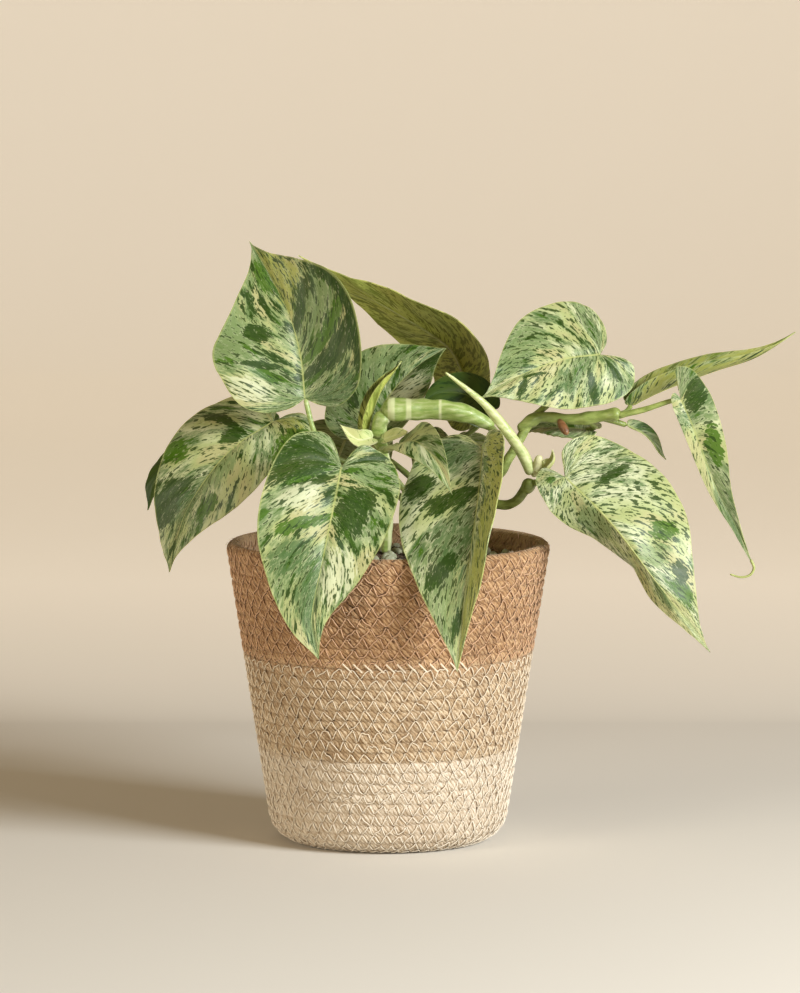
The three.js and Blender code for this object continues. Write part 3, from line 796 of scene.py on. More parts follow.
def carried_frames(path: SmoothPath, distances: Array) -> tuple[Array, Array]:
    """Two directions square to a path at each place, carried along it without a twist.

    Args:
        path: The path.
        distances: Places along it, rising.

    Returns:
        The two directions at each place.
    """
    ways = path.direction(distances)
    first = np.cross(ways[0], (0.0, 0.0, 1.0) if abs(ways[0][2]) < 0.9 else (1.0, 0.0, 0.0))
    sides = [unit(first)]
    for way in ways[1:]:
        sides.append(unit(sides[-1] - way * np.dot(sides[-1], way)))
    sides = np.array(sides)
    return sides, np.cross(ways, sides)


def stalk(name: str, points: Sequence[Point], radius: Rule, sides: int, step: float) -> bpy.types.Object:
    """A round stalk along a smooth path, its ends rounded.

    Args:
        name: The piece's name.
        points: What its middle runs through, in millimetres.
        radius: Gives its radius from the distance along it and the angle round it.
        sides: Faces round it.
        step: Length of a face along it.

    Returns:
        The piece.
    """
    path = SmoothPath(points)
    rows = max(8, int(path.length / step))
    fine = np.linspace(0, path.length, rows + 1)
    sides_at, others_at = carried_frames(path, fine)

    def place(across: Array, along: Array) -> Array:
        """Lays the points of the stalk's skin.

        Args:
            across: Shares of the way round it.
            along: Shares of the way along it.

        Returns:
            The points in millimetres.
        """
        row = np.rint(along * rows).astype(int)
        distance = fine[row]
        width = radius(distance, across * TURN)
        end = np.minimum(distance, path.length - distance) / np.maximum(width, 0.05)
        width = width * np.sqrt(np.clip(1 - (1 - np.clip(end, 0, 1)) ** 2, 0, 1))
        return path.along(distance) + spoke(sides_at[row], others_at[row], across) * width[:, None]

    return closed(laid_grid(name, sides, rows, place))


# The basket


class Zone(Enum):
    """The basket's three colours, from the floor up."""

    CREAM = "basket_lower_cream"
    BEIGE = "basket_middle_beige"
    TAN = "basket_upper_tan"


CREAM_TOP, BEIGE_TOP = 43.9, 87.7
FACES_PER_STRAND = 4
FACES_PER_ROW = 8
FACES_PER_STITCH = 8


@dataclass(frozen=True)
class Band:
    """One colour of the basket: its first row and the one after its last, and what it is made of."""

    rows: tuple[int, int]
    slot: str
    rope: RopeFinish
    thread: ThreadFinish


BANDS = {
    Zone.CREAM: Band(
        (0, 11), "rope_cream",
        RopeFinish("rope, cream", srgb(212, 195, 170), srgb(246, 236, 218), srgb(160, 132, 98),
                   srgb(104, 78, 50), ((CREAM_TOP - 1.5, CREAM_TOP + 1, srgb(200, 172, 134)),)),
        ThreadFinish("thread, cream", srgb(244, 234, 216), srgb(222, 206, 180)),
    ),
    Zone.BEIGE: Band(
        (11, 20), "rope_beige",
        RopeFinish("rope, beige", srgb(188, 161, 125), srgb(240, 222, 192), srgb(120, 88, 52),
                   srgb(58, 38, 16), ((CREAM_TOP + 2, CREAM_TOP - 1, srgb(228, 212, 186)),
                                      (BEIGE_TOP - 9, BEIGE_TOP, srgb(166, 124, 82)))),
        ThreadFinish("thread, pale", srgb(240, 226, 202), srgb(214, 192, 160)),
    ),
    Zone.TAN: Band(
        (20, 30), "rope_tan",
        RopeFinish("rope, tan", srgb(168, 128, 86), srgb(224, 188, 144), srgb(98, 62, 30),
                   srgb(40, 22, 8), ((BEIGE_TOP + 7, BEIGE_TOP, srgb(206, 178, 140)),)),
        ThreadFinish("thread, brown", srgb(220, 180, 142), srgb(176, 130, 92)),
    ),
}


@dataclass
class Basket:
    """A basket of one rope coiled upwards, each row sewn to the row below by a zigzag thread.

    What has row in its name is counted in rows, roundness and strand_rise are shares of a row, stagger and
    upstroke are shares of a stitch, and overstitch_start is a share of a turn. The other sizes are in
    millimetres.
    """

    rim_radius: float = 75
    foot_radius: float = 53.5
    height: float = 138.3
    corner: float = 14
    wall_length: float = 147.9
    rope: float = 5.4
    pitch: float = 4.93
    first_row: float = -0.4
    rows_inside: float = 3.4
    groove: float = 0.66
    roundness: float = 0.93
    wandering: float = 0.4
    strands: int = 176
    strand_relief: float = 0.3
    strand_rise: float = 0.62
    stitches: int = 61
    stagger: float = 0.45
    upstroke: float = 0.44
    thread: float = 0.27
    pull_depth: float = 0.34
    pull_reach: float = 0.5
    overstitches: int = 12
    overstitch_start: float = 0.7
    overstitch_row: float = 20.62
    overstitch_radius: float = 0.42
    loose_fibres: int = 1500
    bands: dict[Zone, Band] = field(default_factory=lambda: dict(BANDS))

    @property
    def slope(self) -> float:
        """How far the wall leans out for each millimetre that it rises."""
        return (self.rim_radius - self.foot_radius) / self.height

    @property
    def corner_length(self) -> float:
        """Length of the rounded corner at the foot."""
        return self.corner * (math.pi / 2 - math.atan(self.slope))

    def wall(self, along: Array, inset: Array) -> tuple[Array, Array]:
        """A point of the wall.

        Args:
            along: Distance up the outside from the foot circle.
            inset: Distance in from the outside.

        Returns:
            Its radius and its height.
        """
        lean = math.atan(self.slope)
        centre = self.foot_radius + self.slope * self.corner - self.corner / math.cos(lean)
        turn = np.clip(along, 0, self.corner_length) / self.corner
        reach = self.corner - inset
        rise = np.maximum(along - self.corner_length, 0)
        radius = centre + reach * np.sin(turn) + rise * math.sin(lean)
        height = self.corner - reach * np.cos(turn) + rise * math.cos(lean)
        return radius, np.maximum(height, 0)

    def row_at(self, along: Array) -> Array:
        """The number of rows up to a distance up the wall."""
        return along / self.pitch - self.first_row

    def row_start(self, row: float) -> float:
        """The distance up the wall where a row starts."""
        return min(max((row + self.first_row) * self.pitch, 0.0), self.wall_length)

    def row_hollow(self, along: Array) -> Array:
        """Depth of the outside below the rows' crests, which are round like the rope.

        Args:
            along: Distances up the wall.

        Returns:
            One depth for each.
        """
        across = 2 * (self.row_at(along) % 1) - 1
        bulge = np.sqrt(1 - (self.roundness * across) ** 2)
        return self.groove * (1 - bulge) / (1 - math.sqrt(1 - self.roundness ** 2))

    def zigzag(self, turn: Array, row: Array) -> Array:
        """How far up a row the thread over it runs.

        Args:
            turn: Turns round the basket.
            row: The row's number.

        Returns:
            Shares of the row's height.
        """
        share = (turn * self.stitches + row * self.stagger + 0.1 * wander(turn * 50, row * 0.7, 3)) % 1
        down = np.where(share < self.upstroke, share / self.upstroke, (1 - share) / (1 - self.upstroke))
        return 1 - down + 0.06 * wander(turn * 70, row * 0.9, 4)

    def drift(self, turn: Array, along: Array) -> Array:
        """How far the hand-wound rows wander up and down."""
        return self.wandering * wander(turn * 14, along / 16, 8) * np.clip(along / 20, 0, 1)

    def outline(self, zone: Zone) -> Array:
        """A zone's closed outline: distance along the wall, inset, and whether it shows strands. Points
        of the floor show none, and give their radius and height in place of the first two.

        Args:
            zone: Which of the three.

        Returns:
            One row for each point, the last one the same as the first, with 1 in its third place for a
            strand, 0 for a plain wall and -1 for the floor.
        """
        low, high = (self.row_start(row) for row in self.bands[zone].rows)
        half = self.rope / 2
        if zone is Zone.TAN:
            high = self.wall_length - half
        outside = np.linspace(low, high, int((high - low) / self.pitch * FACES_PER_ROW) + 1)
        shape = [(along, self.row_hollow(along), 1) for along in outside]
        if zone is Zone.TAN:
            start = shape.pop()[1]
            for angle in np.linspace(0, math.pi, 13):
                inset = half - (half - start * (angle < 1.5)) * math.cos(angle)
                shape.append((high + half * math.sin(angle), inset, 1))
            seen = high - self.rows_inside * self.pitch
            inside = np.linspace(high, seen, 23)[1:]
            shape += [(along, self.rope - self.row_hollow(along) * 0.8, 1) for along in inside]
            high = seen
        shape += [(along, self.rope, 0) for along in np.linspace(high, low, 7)]
        if zone is Zone.CREAM:
            reach = float(self.wall(np.array(0.0), np.array(0.0))[0])
            shape += [(radius, self.rope, -1) for radius in np.linspace(reach, 0, 6)[1:]]
            for radius in np.linspace(0, reach, 41)[:-1]:
                shape.append((radius, 0.7 * abs(math.cos(math.pi * radius / self.pitch)), -1))
        shape.append(shape[0])
        return np.array(shape, float)

    def pull(self, turn: Array, along: Array) -> Array:
        """How much the thread pulls the rope in.

        Args:
            turn: Turns round the basket.
            along: Distances up the wall.

        Returns:
            Shares from 0 to 1.
        """
        row = np.floor(self.row_at(along))
        away = 0.55 * self.pitch * np.abs(self.row_at(along) - row - self.zigzag(turn, row))
        return np.exp(-(away / self.pull_reach) ** 2)

    def band(self, zone: Zone) -> bpy.types.Object:
        """Coils one colour of the wall.

        Args:
            zone: Which of the three.

        Returns:
            The piece, with two attributes: each strand's tone with a painted highlight on its crest, and the
                strength of the painted shade in its grooves.
        """
        outline = self.outline(zone)
        sides, rows = self.strands * FACES_PER_STRAND, len(outline) - 1
        low, high = (self.row_start(row) for row in self.bands[zone].rows)

        def lay(across: Array, share: Array) -> tuple[Array, ...]:
            """Works out where the points lie.

            Args:
                across: Shares of the way round the basket.
                share: Shares of the way round the outline.

            Returns:
                Each point's turn, its three values of the outline, its strand's height, and the strand's own
                random tone.
            """
            along, inset, kind = outline[np.rint(share * rows).astype(int)].T
            level = np.floor(self.row_at(along) + 1e-6)
            lean = along / (self.pitch * self.strand_rise) + level * 0.37
            turn = across - np.where(kind > 0, lean / self.strands, 0)
            number = np.rint(across * sides) // FACES_PER_STRAND % self.strands
            shade = np.modf(np.abs(np.sin(number * 12.9898 + level * 78.233)) * 437.585)[0]
            strand = np.abs(np.sin(math.pi * across * self.strands))
            return turn, along, inset, kind, strand, shade

        def place(across: Array, share: Array) -> Array:
            """Lays the points of the wall.

            Args:
                across: Shares of the way round the basket.
                share: Shares of the way round the outline.

            Returns:
                The points in millimetres.
            """
            turn, along, inset, kind, strand, _ = lay(across, share)
            on_floor, floor_height = kind < 0, inset
            wobble = 0.2 * wander(turn * 46, along / 9, 11) + 0.16 * wander(turn * 120, along / 4, 12)
            pulled = self.pull_depth * self.pull(turn, along)
            raised = np.where(kind > 0, self.strand_relief * (strand ** 0.5 - 1) + wobble - pulled, 0)
            inset = np.where(inset < self.rope / 2, inset - raised, inset + raised)
            edge = np.clip(np.minimum(along - low, high - along) / 2, 0, 1)
            radius, height = self.wall(along + self.drift(turn, along) * edge * (kind > 0), inset)
            radius = np.where(on_floor, along, radius)
            return round_axis(radius, turn, np.maximum(np.where(on_floor, floor_height, height), 0))

        def marks(across: Array, share: Array) -> dict[str, Array]:
            """Gives each strand its tone with a painted highlight on its crest, and sets the painted shade
            of the grooves and of the thread's pull.

            Args:
                across: Shares of the way round the basket.
                share: Shares of the way round the outline.

            Returns:
                The values of both attributes.
            """
            turn, along, inset, kind, strand, shade = lay(across, share)
            # Strength of the painted shade: in the hollow between rows and where the thread pulls the rope
            # in.
            groove = self.row_hollow(along) / self.groove
            groove = np.maximum(groove * 0.55, self.pull(turn, along) * 0.9)
            # The crest profile, which gives the painted highlight, scaled by the strand's own random tone.
            strand = strand ** 0.7 * (0.35 + 0.65 * shade)
            # Painted light on the inside of the rim: full pale strands and hardly any groove shade there.
            inner = inset > self.rope / 2
            groove, strand = np.where(inner, groove * 0.15, groove), np.where(inner, 1.0, strand)
            # Where no strands show, on the plain inner wall and the floor: a middling tone and fairly strong
            # painted shade.
            return {"strand": np.where(kind > 0, strand, 0.4), "depth": np.where(kind > 0, groove, 0.6)}

        return closed(laid_grid(zone.value + "_coil", sides, rows, place, marks))

    def thread_path(self, row: int, inner: bool, turn: Array) -> Array:
        """The middle of the thread over a row.

        Args:
            row: Which row.
            inner: Whether it is seen on the inside of the wall.
            turn: Turns round the basket.

        Returns:
            The points in millimetres.
        """
        level = row + self.zigzag(turn, np.full_like(turn, row))
        along = np.clip((level + self.first_row) * self.pitch, 0.4, self.wall_length - 1.2)
        inset = self.row_hollow(along) * 0.8 - self.thread * 0.5
        along = along + self.drift(turn, along)
        radius, height = self.wall(along, self.rope - inset if inner else inset)
        return round_axis(radius, turn, height)

    def sewn_row(self, row: int, inner: bool) -> bpy.types.Object:
        """Sews a zigzag of thread over one row.

        Args:
            row: Which row.
            inner: Whether it is seen on the inside of the wall.

        Returns:
            The thread.
        """
        steps = self.stitches * FACES_PER_STITCH

        def place(across: Array, share: Array) -> Array:
            """Lays the points of the thread's skin.

            Args:
                across: Shares of the way round the thread.
                share: Shares of the way along it.

            Returns:
                The points in millimetres, none of them under the floor.
            """
            turn, step = np.rint(share * steps) / steps, 0.3 / steps
            middle = self.thread_path(row, inner, turn)
            way = unit(self.thread_path(row, inner, turn + step) - self.thread_path(row, inner, turn - step))
            side = unit(np.cross(way, unit(middle * (1, 1, 0))))
            skin = middle + self.thread * spoke(side, np.cross(side, way), across)
            return np.maximum(skin, (-math.inf, -math.inf, 0))

        return laid_grid("stitches", 4, steps, place)

    def stitched_rows(self, zone: Zone) -> bpy.types.Object:
        """Sews all of a zone's rows, and the rim's topmost ones inside too.

        Args:
            zone: Which of the three.

        Returns:
            The piece.
        """
        first, last = self.bands[zone].rows
        pieces = [self.sewn_row(row, False) for row in range(first, last)]
        if zone is Zone.TAN:
            pieces += [self.sewn_row(row, True) for row in range(last - 3, last)]
        return closed(join(pieces, zone.value + "_stitches"))

    def splice(self) -> bpy.types.Object:
        """Sews slanted pale overstitches where the tan rope is joined on, at the front.

        Returns:
            The piece.
        """
        def thickness(distance: Array, angle: Array) -> Array:
            """The thread's radius, the same all along."""
            return np.full_like(distance, self.overstitch_radius)

        pieces = []
        for number in range(self.overstitches):
            start = self.overstitch_start + number / self.stitches * 0.72
            share = np.linspace(0, 1, 7)
            along = (self.overstitch_row - 0.95 * share + self.first_row) * self.pitch
            lift = 0.2 - 0.35 * np.sin(math.pi * share)
            radius, height = self.wall(along, self.row_hollow(along) * 0.7 + lift)
            line = round_axis(radius, start + 0.011 * share, height)
            pieces.append(stalk("overstitch", line, thickness, 8, 0.6))
        return join(pieces, "basket_overstitches")

    def whiskers(self) -> bpy.types.Object:
        """Scatters short loose fibres over the rope, every third one on the rim.

        Returns:
            The piece.
        """
        bpy.ops.object.select_all(action="DESELECT")
        bpy.ops.mesh.primitive_cone_add(vertices=3, radius1=0.00011, radius2=0.00003, depth=0.001)
        template = bpy.context.object
        random = np.random.default_rng(5)
        frames = np.zeros((self.loose_fibres, 3, 4))
        top = self.wall_length
        for number in range(self.loose_fibres):
            angle = random.uniform(0, TURN)
            on_rim = number % 3 == 0
            along = top - 0.5 if on_rim else random.uniform(self.corner_length, top - self.rope)
            inset = random.uniform(0, self.rope) if on_rim else 0.1
            radius, height = self.wall(np.array(along), np.array(inset))
            out = np.array([math.cos(angle), math.sin(angle), 0.0])
            centre = np.array([radius * out[0], radius * out[1], height]) * MM
            way = unit(out + random.normal(0, 0.75, 3) + (0, 0, 0.9 if on_rim else 0))
            side = unit(np.cross(way, random.normal(0, 1, 3)))
            length = random.uniform(1.0, 2.6)
            frames[number] = np.column_stack([side, np.cross(way, side), way * length, centre])
        return copies(template, "loose_fibres", frames)

    def build(self) -> None:
        """Builds the basket's pieces and dresses them."""
        girth = TURN * self.rim_radius * 0.9
        for zone, band in self.bands.items():
            length = (len(self.outline(zone)) - 1) * self.pitch / FACES_PER_ROW
            finish = band.rope.material(girth, length)
            settle(self.band(zone), band.slot, finish, zone.value)
            settle(self.stitched_rows(zone), band.slot, band.thread.material())
        pale = self.bands[Zone.BEIGE].thread
        settle(self.splice(), "rope_beige", pale.material())
        settle(self.whiskers(), "rope_tan", pale.material())


# The filling


@dataclass
class Filling:
    """The top dressing of dark crumbs and pale pebbles round the stems, over the soil and its pot."""

    radius: float = 66.7
    edge: float = 127.6
    crown: float = 132
    underside: float = 126.3
    pebbles: int = 120
    crumbs: int = 1500
    feet: Sequence[Pair] = ((-1, 6), (10, 14), (8, 3), (16, 22))
    foot_room: float = 2.6
    bed: GroundFinish = GroundFinish("crumbs, dark", srgb(92, 72, 54), srgb(38, 28, 20),
                                     srgb(126, 106, 80), 0.7)
    stone: GroundFinish = GroundFinish("pebble", srgb(182, 184, 152), srgb(126, 130, 102),
                                       srgb(206, 208, 192), 0.45, 0.75)
    soil: GroundFinish = GroundFinish("soil", srgb(80, 60, 44), srgb(34, 25, 18), srgb(120, 100, 78), 0.5)
    plastic: GroundFinish = GroundFinish("grow pot", srgb(70, 68, 64), srgb(48, 46, 43), srgb(90, 88, 84),
                                         0.2, 0.55)

    def top(self, radius: Array) -> Array:
        """Height of the dressing at a distance from the axis."""
        return self.crown - (self.crown - self.edge) * (radius / self.radius) ** 2

    def rough_bed(self) -> bpy.types.Object:
        """Lays the crumbly bed, closed underneath.

        Returns:
            The piece.
        """
        sides, rows, top_rows = 150, 64, 50

        def place(across: Array, share: Array) -> Array:
            """Lays the points of the bed.

            Args:
                across: Shares of the way round it.
                share: Shares of the way out over the top and back in underneath.

            Returns:
                The points in millimetres.
            """
            row = np.rint(share * rows)
            over = row <= top_rows
            radius = self.radius * np.where(over, row / top_rows, (rows - row) / (rows - top_rows))
            x, y, _ = round_axis(radius, across, radius).T
            crumble = 0.55 * wander(x / 9, y / 9, 21) + 0.4 * wander(x / 3.4, y / 3.4, 22, 9)
            rough = self.top(radius) - 0.5 + crumble * np.clip((self.radius - radius) / 3, 0.2, 1)
            return np.column_stack([x, y, np.where(over, np.maximum(rough, self.underside), self.underside)])

        return closed(laid_grid("dressing_bed", sides, rows, place), 50)

    def scattered(self, name: str, count: int, sizes: Pair, flat: float, seed: int,
                  subdivisions: int, raised: float) -> bpy.types.Object:
        """Scatters lumps over the bed, clear of the stems and the wall.

        Args:
            name: The piece's name.
            count: How many.
            sizes: Half length of the smallest and of the largest.
            flat: Height as a share of the length.
            seed: Which scatter.
            subdivisions: How round the lump is.
            raised: Height of its middle over the bed, as a share of its half length.

        Returns:
            The piece.
        """
        random = np.random.default_rng(seed)
        bpy.ops.object.select_all(action="DESELECT")
        bpy.ops.mesh.primitive_ico_sphere_add(subdivisions=subdivisions, radius=MM)
        template = bpy.context.object
        for corner in template.data.vertices:
            x, y, z = (np.array(value * 1000) for value in corner.co)
            corner.co *= 1 + 0.16 * float(wander(x * 0.5 + z * 0.3, y * 0.5, seed))
        frames = []
        for number in range(count):
            size = random.uniform(*sizes)
            radius = (self.radius - sizes[1] - 0.6) * math.sqrt((number + 0.5) / count)
            angle = number * math.pi * (3 - math.sqrt(5)) + random.uniform(0, 0.5)
            x, y = radius * math.cos(angle), radius * math.sin(angle)
            if any(math.hypot(x - foot[0], y - foot[1]) < size + self.foot_room for foot in self.feet):
                continue
            heading, tilt = random.uniform(0, TURN), random.uniform(-0.5, 0.5)
            ahead = np.array([math.cos(heading), math.sin(heading), tilt])
            aside = unit(np.cross((0, 0, 1), ahead))
            up = unit(np.cross(ahead, aside))
            centre = np.array([x, y, self.top(radius) + size * raised]) * MM
            shape = size * np.array([1, random.uniform(0.7, 0.9), flat])
            frames.append(np.column_stack([unit(ahead) * shape[0], aside * shape[1], up * shape[2], centre]))
        return copies(template, name, np.array(frames))

    def build(self) -> None:
        """Builds the dressing, and dresses the soil and the pot under it."""
        settle(self.rough_bed(), "dressing", self.bed.material(), "top_dressing")
        stones = self.scattered("dressing_pebbles", self.pebbles, (2.3, 3.7), 0.72, 31, 3, 0.2)
        settle(stones, "dressing", self.stone.material())
        crumbs = self.scattered("dressing_crumbs", self.crumbs, (0.5, 1.3), 0.8, 33, 1, 0.0)
        settle(crumbs, "dressing", self.bed.material())
        for node, finish in (("soil", self.soil), ("grow_pot", self.plastic)):
            dress(bpy.data.objects[node], finish.material())


# Leaves

# Half of a heart-shaped blade, as share of the half width and place. A place runs from -1 at the back of
# the lobe by 0 at the widest point to 1 at the tip, and the outline starts at the petiole.
HALF_OUTLINE = ((0.22, -0.97), (0.5, -1), (0.78, -0.83), (0.94, -0.46), (1, 0), (0.9, 0.27), (0.62, 0.53),
                (0.29, 0.75), (0.08, 0.91), (0, 1))
# Shares of the margin where the first row of faces starts and where the lobe ends.
FIRST_SHARE = 0.045
LOBE_SHARE = 1 / 3
# Exponents that crowd the rows, to the tip along the margin and to the petiole along the midrib.
MARGIN_CROWDING = 0.92
RIB_CROWDING = 1.3
# How far veins and streaks sweep on to the tip, as share of the margin.
STREAK_SWEEP = 0.5
# Widths in millimetres within which a ripple and a fold fade out, and heights of the relief.
CALM_WIDTH = 8
NARROW_WIDTH = 3
VEIN_HEIGHT = 0.3
SWAY_HEIGHT = 0.55


@dataclass
class Blade:
    """A blade, bent along its midrib, folded at it, and curled and waved to its margins.

    The pairs are the left half and the right half, as seen on the upper face with the tip ahead: half
    width, lobe behind the petiole, place of the widest point, how hollow the margin is near the tip, and
    fold at the midrib and curl to the margin in degrees. A list of folds runs from petiole to tip.
    """

    name: str
    rib: Sequence[Point]
    face: Sequence[Point]
    half: Pair
    lobe: Pair
    belly: Pair
    fold: tuple[float | Sequence[float], float | Sequence[float]]
    curl: Pair
    wave: tuple[float, float, float, float] = (0, 0, 1, 0)
    hollow: Pair = (1, 1)
    petiole: Sequence[Point] = ()
    tail: Sequence[Point] = ()
    marbling: Marbling = Marbling()
    stem: str = ""
    slot: str = "leaf"
    thickness: float = 0.5
    veins: int = 13

    def __post_init__(self) -> None:
        """Measures the midrib and the margins."""
        self.path = SmoothPath(self.rib)
        self.margins = []
        for side in range(2):
            length, width = self.path.length, self.half[side]
            widest = self.belly[side] * length
            stations = [(0.0, 0.0)]
            for across, place in HALF_OUTLINE:
                along = widest + place * (widest + self.lobe[side] if place < 0 else length - widest)
                stations.append((across ** (self.hollow[side] if place > 0 else 1) * width, along))
            self.margins.append(SmoothPath(stations))

    @property
    def large(self) -> bool:
        """Whether the blade gets a fine mesh."""
        return max(self.half) >= 14

    def rib_frame(self, along: Array) -> tuple[Array, Array, Array]:
        """The midrib's frame.

        Args:
            along: Distances from the petiole, below 0 behind it.

        Returns:
            Points, the way that the upper face looks there and the way to the right-hand side.
        """
        share = np.clip(along / self.path.length, 0, 1)
        tangent = self.path.direction(share * self.path.length)
        point = self.path.along(share * self.path.length) + tangent * np.minimum(along, 0)[:, None]
        faces = np.array(self.face, float)
        place = np.linspace(0, 1, len(faces))
        face = np.column_stack([np.interp(share, place, faces[:, axis]) for axis in range(3)])
        normal = unit(face - tangent * np.sum(face * tangent, axis=1)[:, None])
        return point, normal, np.cross(tangent, normal)

    def relief(self, side: int, share: Array, across: Array, along: Array) -> Array:
        """Height of the veins, the midrib's groove and the blade's slow sway.

        Args:
            side: 0 for the left half, 1 for the right one.
            share: Shares of the way along the margin.
            across: Distances from the midrib.
            along: Distances from the petiole.

        Returns:
            Heights over the upper face.
        """
        vein = np.abs(2 * ((share - STREAK_SWEEP * across / self.margins[side].length) * self.veins % 1) - 1)
        reach = np.clip(across / 3, 0, 1) * np.clip((1 - share) * 6, 0, 1)
        ridges = VEIN_HEIGHT * (1 - vein ** 2 * 1.4) * reach
        groove = -VEIN_HEIGHT * np.exp(-(across / 0.9) ** 2)
        sway = SWAY_HEIGHT * wander(across / 26 + 3 * side, along / 30, len(self.name) * 7 + side) * reach
        return ridges + groove + sway

    def surface(self, across: Array, share: Array) -> Array:
        """Lays the blade's middle surface.

        Args:
            across: From the left margin, 0, by the midrib, 0.5, to the right margin, 1.
            share: Along the margin from the petiole, 0, by the lobe and on to the tip, 1.

        Returns:
            The points in millimetres.
        """
        length = self.path.length
        start = np.where(share <= LOBE_SHARE, 0.0,
                         length * np.clip((share - LOBE_SHARE) / (1 - LOBE_SHARE), 0, 1) ** RIB_CROWDING)
        total = np.zeros((len(across), 3))
        for side in range(2):
            here = across < 0.5 if side == 0 else across >= 0.5
            u, v, begin = np.abs(2 * across[here] - 1), share[here], start[here]
            margin = self.margins[side].at(v)
            away = margin[:, 0] * u
            along = begin + (margin[:, 1] - begin) * u
            point, normal, right = self.rib_frame(along)
            narrow = np.where(v > LOBE_SHARE, np.minimum(1, margin[:, 0] / NARROW_WIDTH), 1)
            fold = np.radians(value_along(self.fold[side], np.clip(along / length, 0, 1))) * narrow
            bend = math.radians(self.curl[side] or 1e-3) / self.half[side]
            sideways = (np.sin(fold + bend * away) - np.sin(fold)) / bend
            ripple = self.wave[side] * u * u * np.sin(self.wave[2] * TURN * v + self.wave[3] + side * 2)
            lift = (np.cos(fold) - np.cos(fold + bend * away)) / bend
            lift = lift + ripple * np.minimum(1, away / CALM_WIDTH)
            lift = lift + self.relief(side, v, away, along) * (1 if self.large else 0.4)
            total[here] = point + right * ((1 if side else -1) * sideways)[:, None] + normal * lift[:, None]
        return total

    def build(self) -> None:
        """Builds the blade with its midrib and its drawn-out tip, and dresses it."""
        columns, rows = (32, 90) if self.large else (14, 40)

        def place(across: Array, along: Array) -> Array:
            """Lays the points of the blade."""
            share = np.rint(along * rows) / rows
            return self.surface(across, FIRST_SHARE + (1 - FIRST_SHARE) * share ** MARGIN_CROWDING)

        piece = laid_grid(self.name + "_blade", columns, rows, place)
        self.face_up(piece)
        weld(piece, 2e-6)
        width, margin = max(self.half), self.margins[0].length
        for face, under in ((", upper face", False), (", underside", True)):
            piece.data.materials.append(self.marbling.material(self.name + face, width, margin, under))
        apply_modifier(piece, "SOLIDIFY", thickness=self.thickness * MM, offset=0, material_offset=1,
                       material_offset_rim=0, use_even_offset=False)
        smooth(piece, 60)
        parts = [piece, self.midrib()]
        if self.tail:
            parts.append(self.drawn_out_tip())
        settle(join(parts, self.name + "_blade"), self.slot, None, self.name)

    def face_up(self, piece: bpy.types.Object) -> None:
        """Turns the grid's faces the way that the blade's upper face looks.

        Args:
            piece: The blade, still one sheet.
        """
        mesh = piece.data
        middle = mesh.polygons[len(mesh.polygons) // 2]
        _, normal, _ = self.rib_frame(np.array([self.path.length * 0.4]))
        if Vector(normal[0]).dot(middle.normal) < 0:
            mesh.flip_normals()

    def midrib(self) -> bpy.types.Object:
        """Lays the midrib's ridge under the blade.

        Returns:
            The ridge, from the petiole to near the tip.
        """
        reach = self.path.length * 0.9
        distances = np.linspace(0, reach, 9)
        point, normal, _ = self.rib_frame(distances)
        height = 0.75 if self.large else 0.4
        line = point - normal * (height * (1 - distances / self.path.length))[:, None]

        def radius(distance: Array, angle: Array) -> Array:
            """Its radius, thinner to the tip."""
            return height * (1.05 - 0.95 * distance / reach)

        return self.ribbed("_midrib", line, radius, 8, 1.5)

    def drawn_out_tip(self) -> bpy.types.Object:
        """Lays the thin curled end of the tip.

        Returns:
            The end.
        """
        def radius(distance: Array, angle: Array) -> Array:
            """Its radius, thinner to the end."""
            return 0.75 - 0.018 * distance

        return self.ribbed("_tip", self.tail, radius, 10, 0.6)

    def ribbed(self, ending: str, line: Sequence[Point], radius: Rule, sides: int,
               step: float) -> bpy.types.Object:
        """Lays a stalk of the midrib's colour.

        Args:
            ending: What its name ends in.
            line: What its middle runs through.
            radius: Gives its radius from the distance along it and the angle round it.
            sides: Faces round it.
            step: Length of a face along it.

        Returns:
            The stalk.
        """
        piece = stalk(self.name + ending, line, radius, sides, step)
        piece.data.materials.append(MIDRIB.material())
        return piece


MIDRIB = StemFinish("midrib", srgb(176, 184, 112), srgb(206, 210, 146), srgb(150, 160, 84))
# Yellow-olive tones, lighter than a blade's usual ones: partly the real olive of an underside and partly
# painted light on undersides that the lamps barely reach.
OLIVE = BladeTones(cream=srgb(208, 214, 126), straw=srgb(184, 194, 96), blush=srgb(196, 188, 110),
                   sage=srgb(142, 156, 72), blue=srgb(110, 134, 60), green=srgb(94, 116, 36),
                   dark=srgb(66, 80, 20), olive=srgb(184, 192, 92), margin=srgb(196, 200, 118))
# Painted shade: the blade tones darkened all over, for the blades at the back of the plant.
SHADED_BACK_TONES = BladeTones(cream=srgb(72, 94, 36), straw=srgb(60, 84, 28), blush=srgb(76, 84, 36),
                  sage=srgb(54, 80, 30), blue=srgb(44, 72, 32), green=srgb(42, 72, 22),
                  dark=srgb(28, 50, 12), olive=srgb(70, 84, 34), margin=srgb(100, 120, 56))
PALE = BladeTones(cream=srgb(216, 220, 162), straw=srgb(200, 208, 140), blush=srgb(214, 212, 152),
                  sage=srgb(184, 198, 128), blue=srgb(172, 188, 118), green=srgb(164, 182, 108),
                  dark=srgb(140, 160, 92), margin=srgb(226, 228, 184))


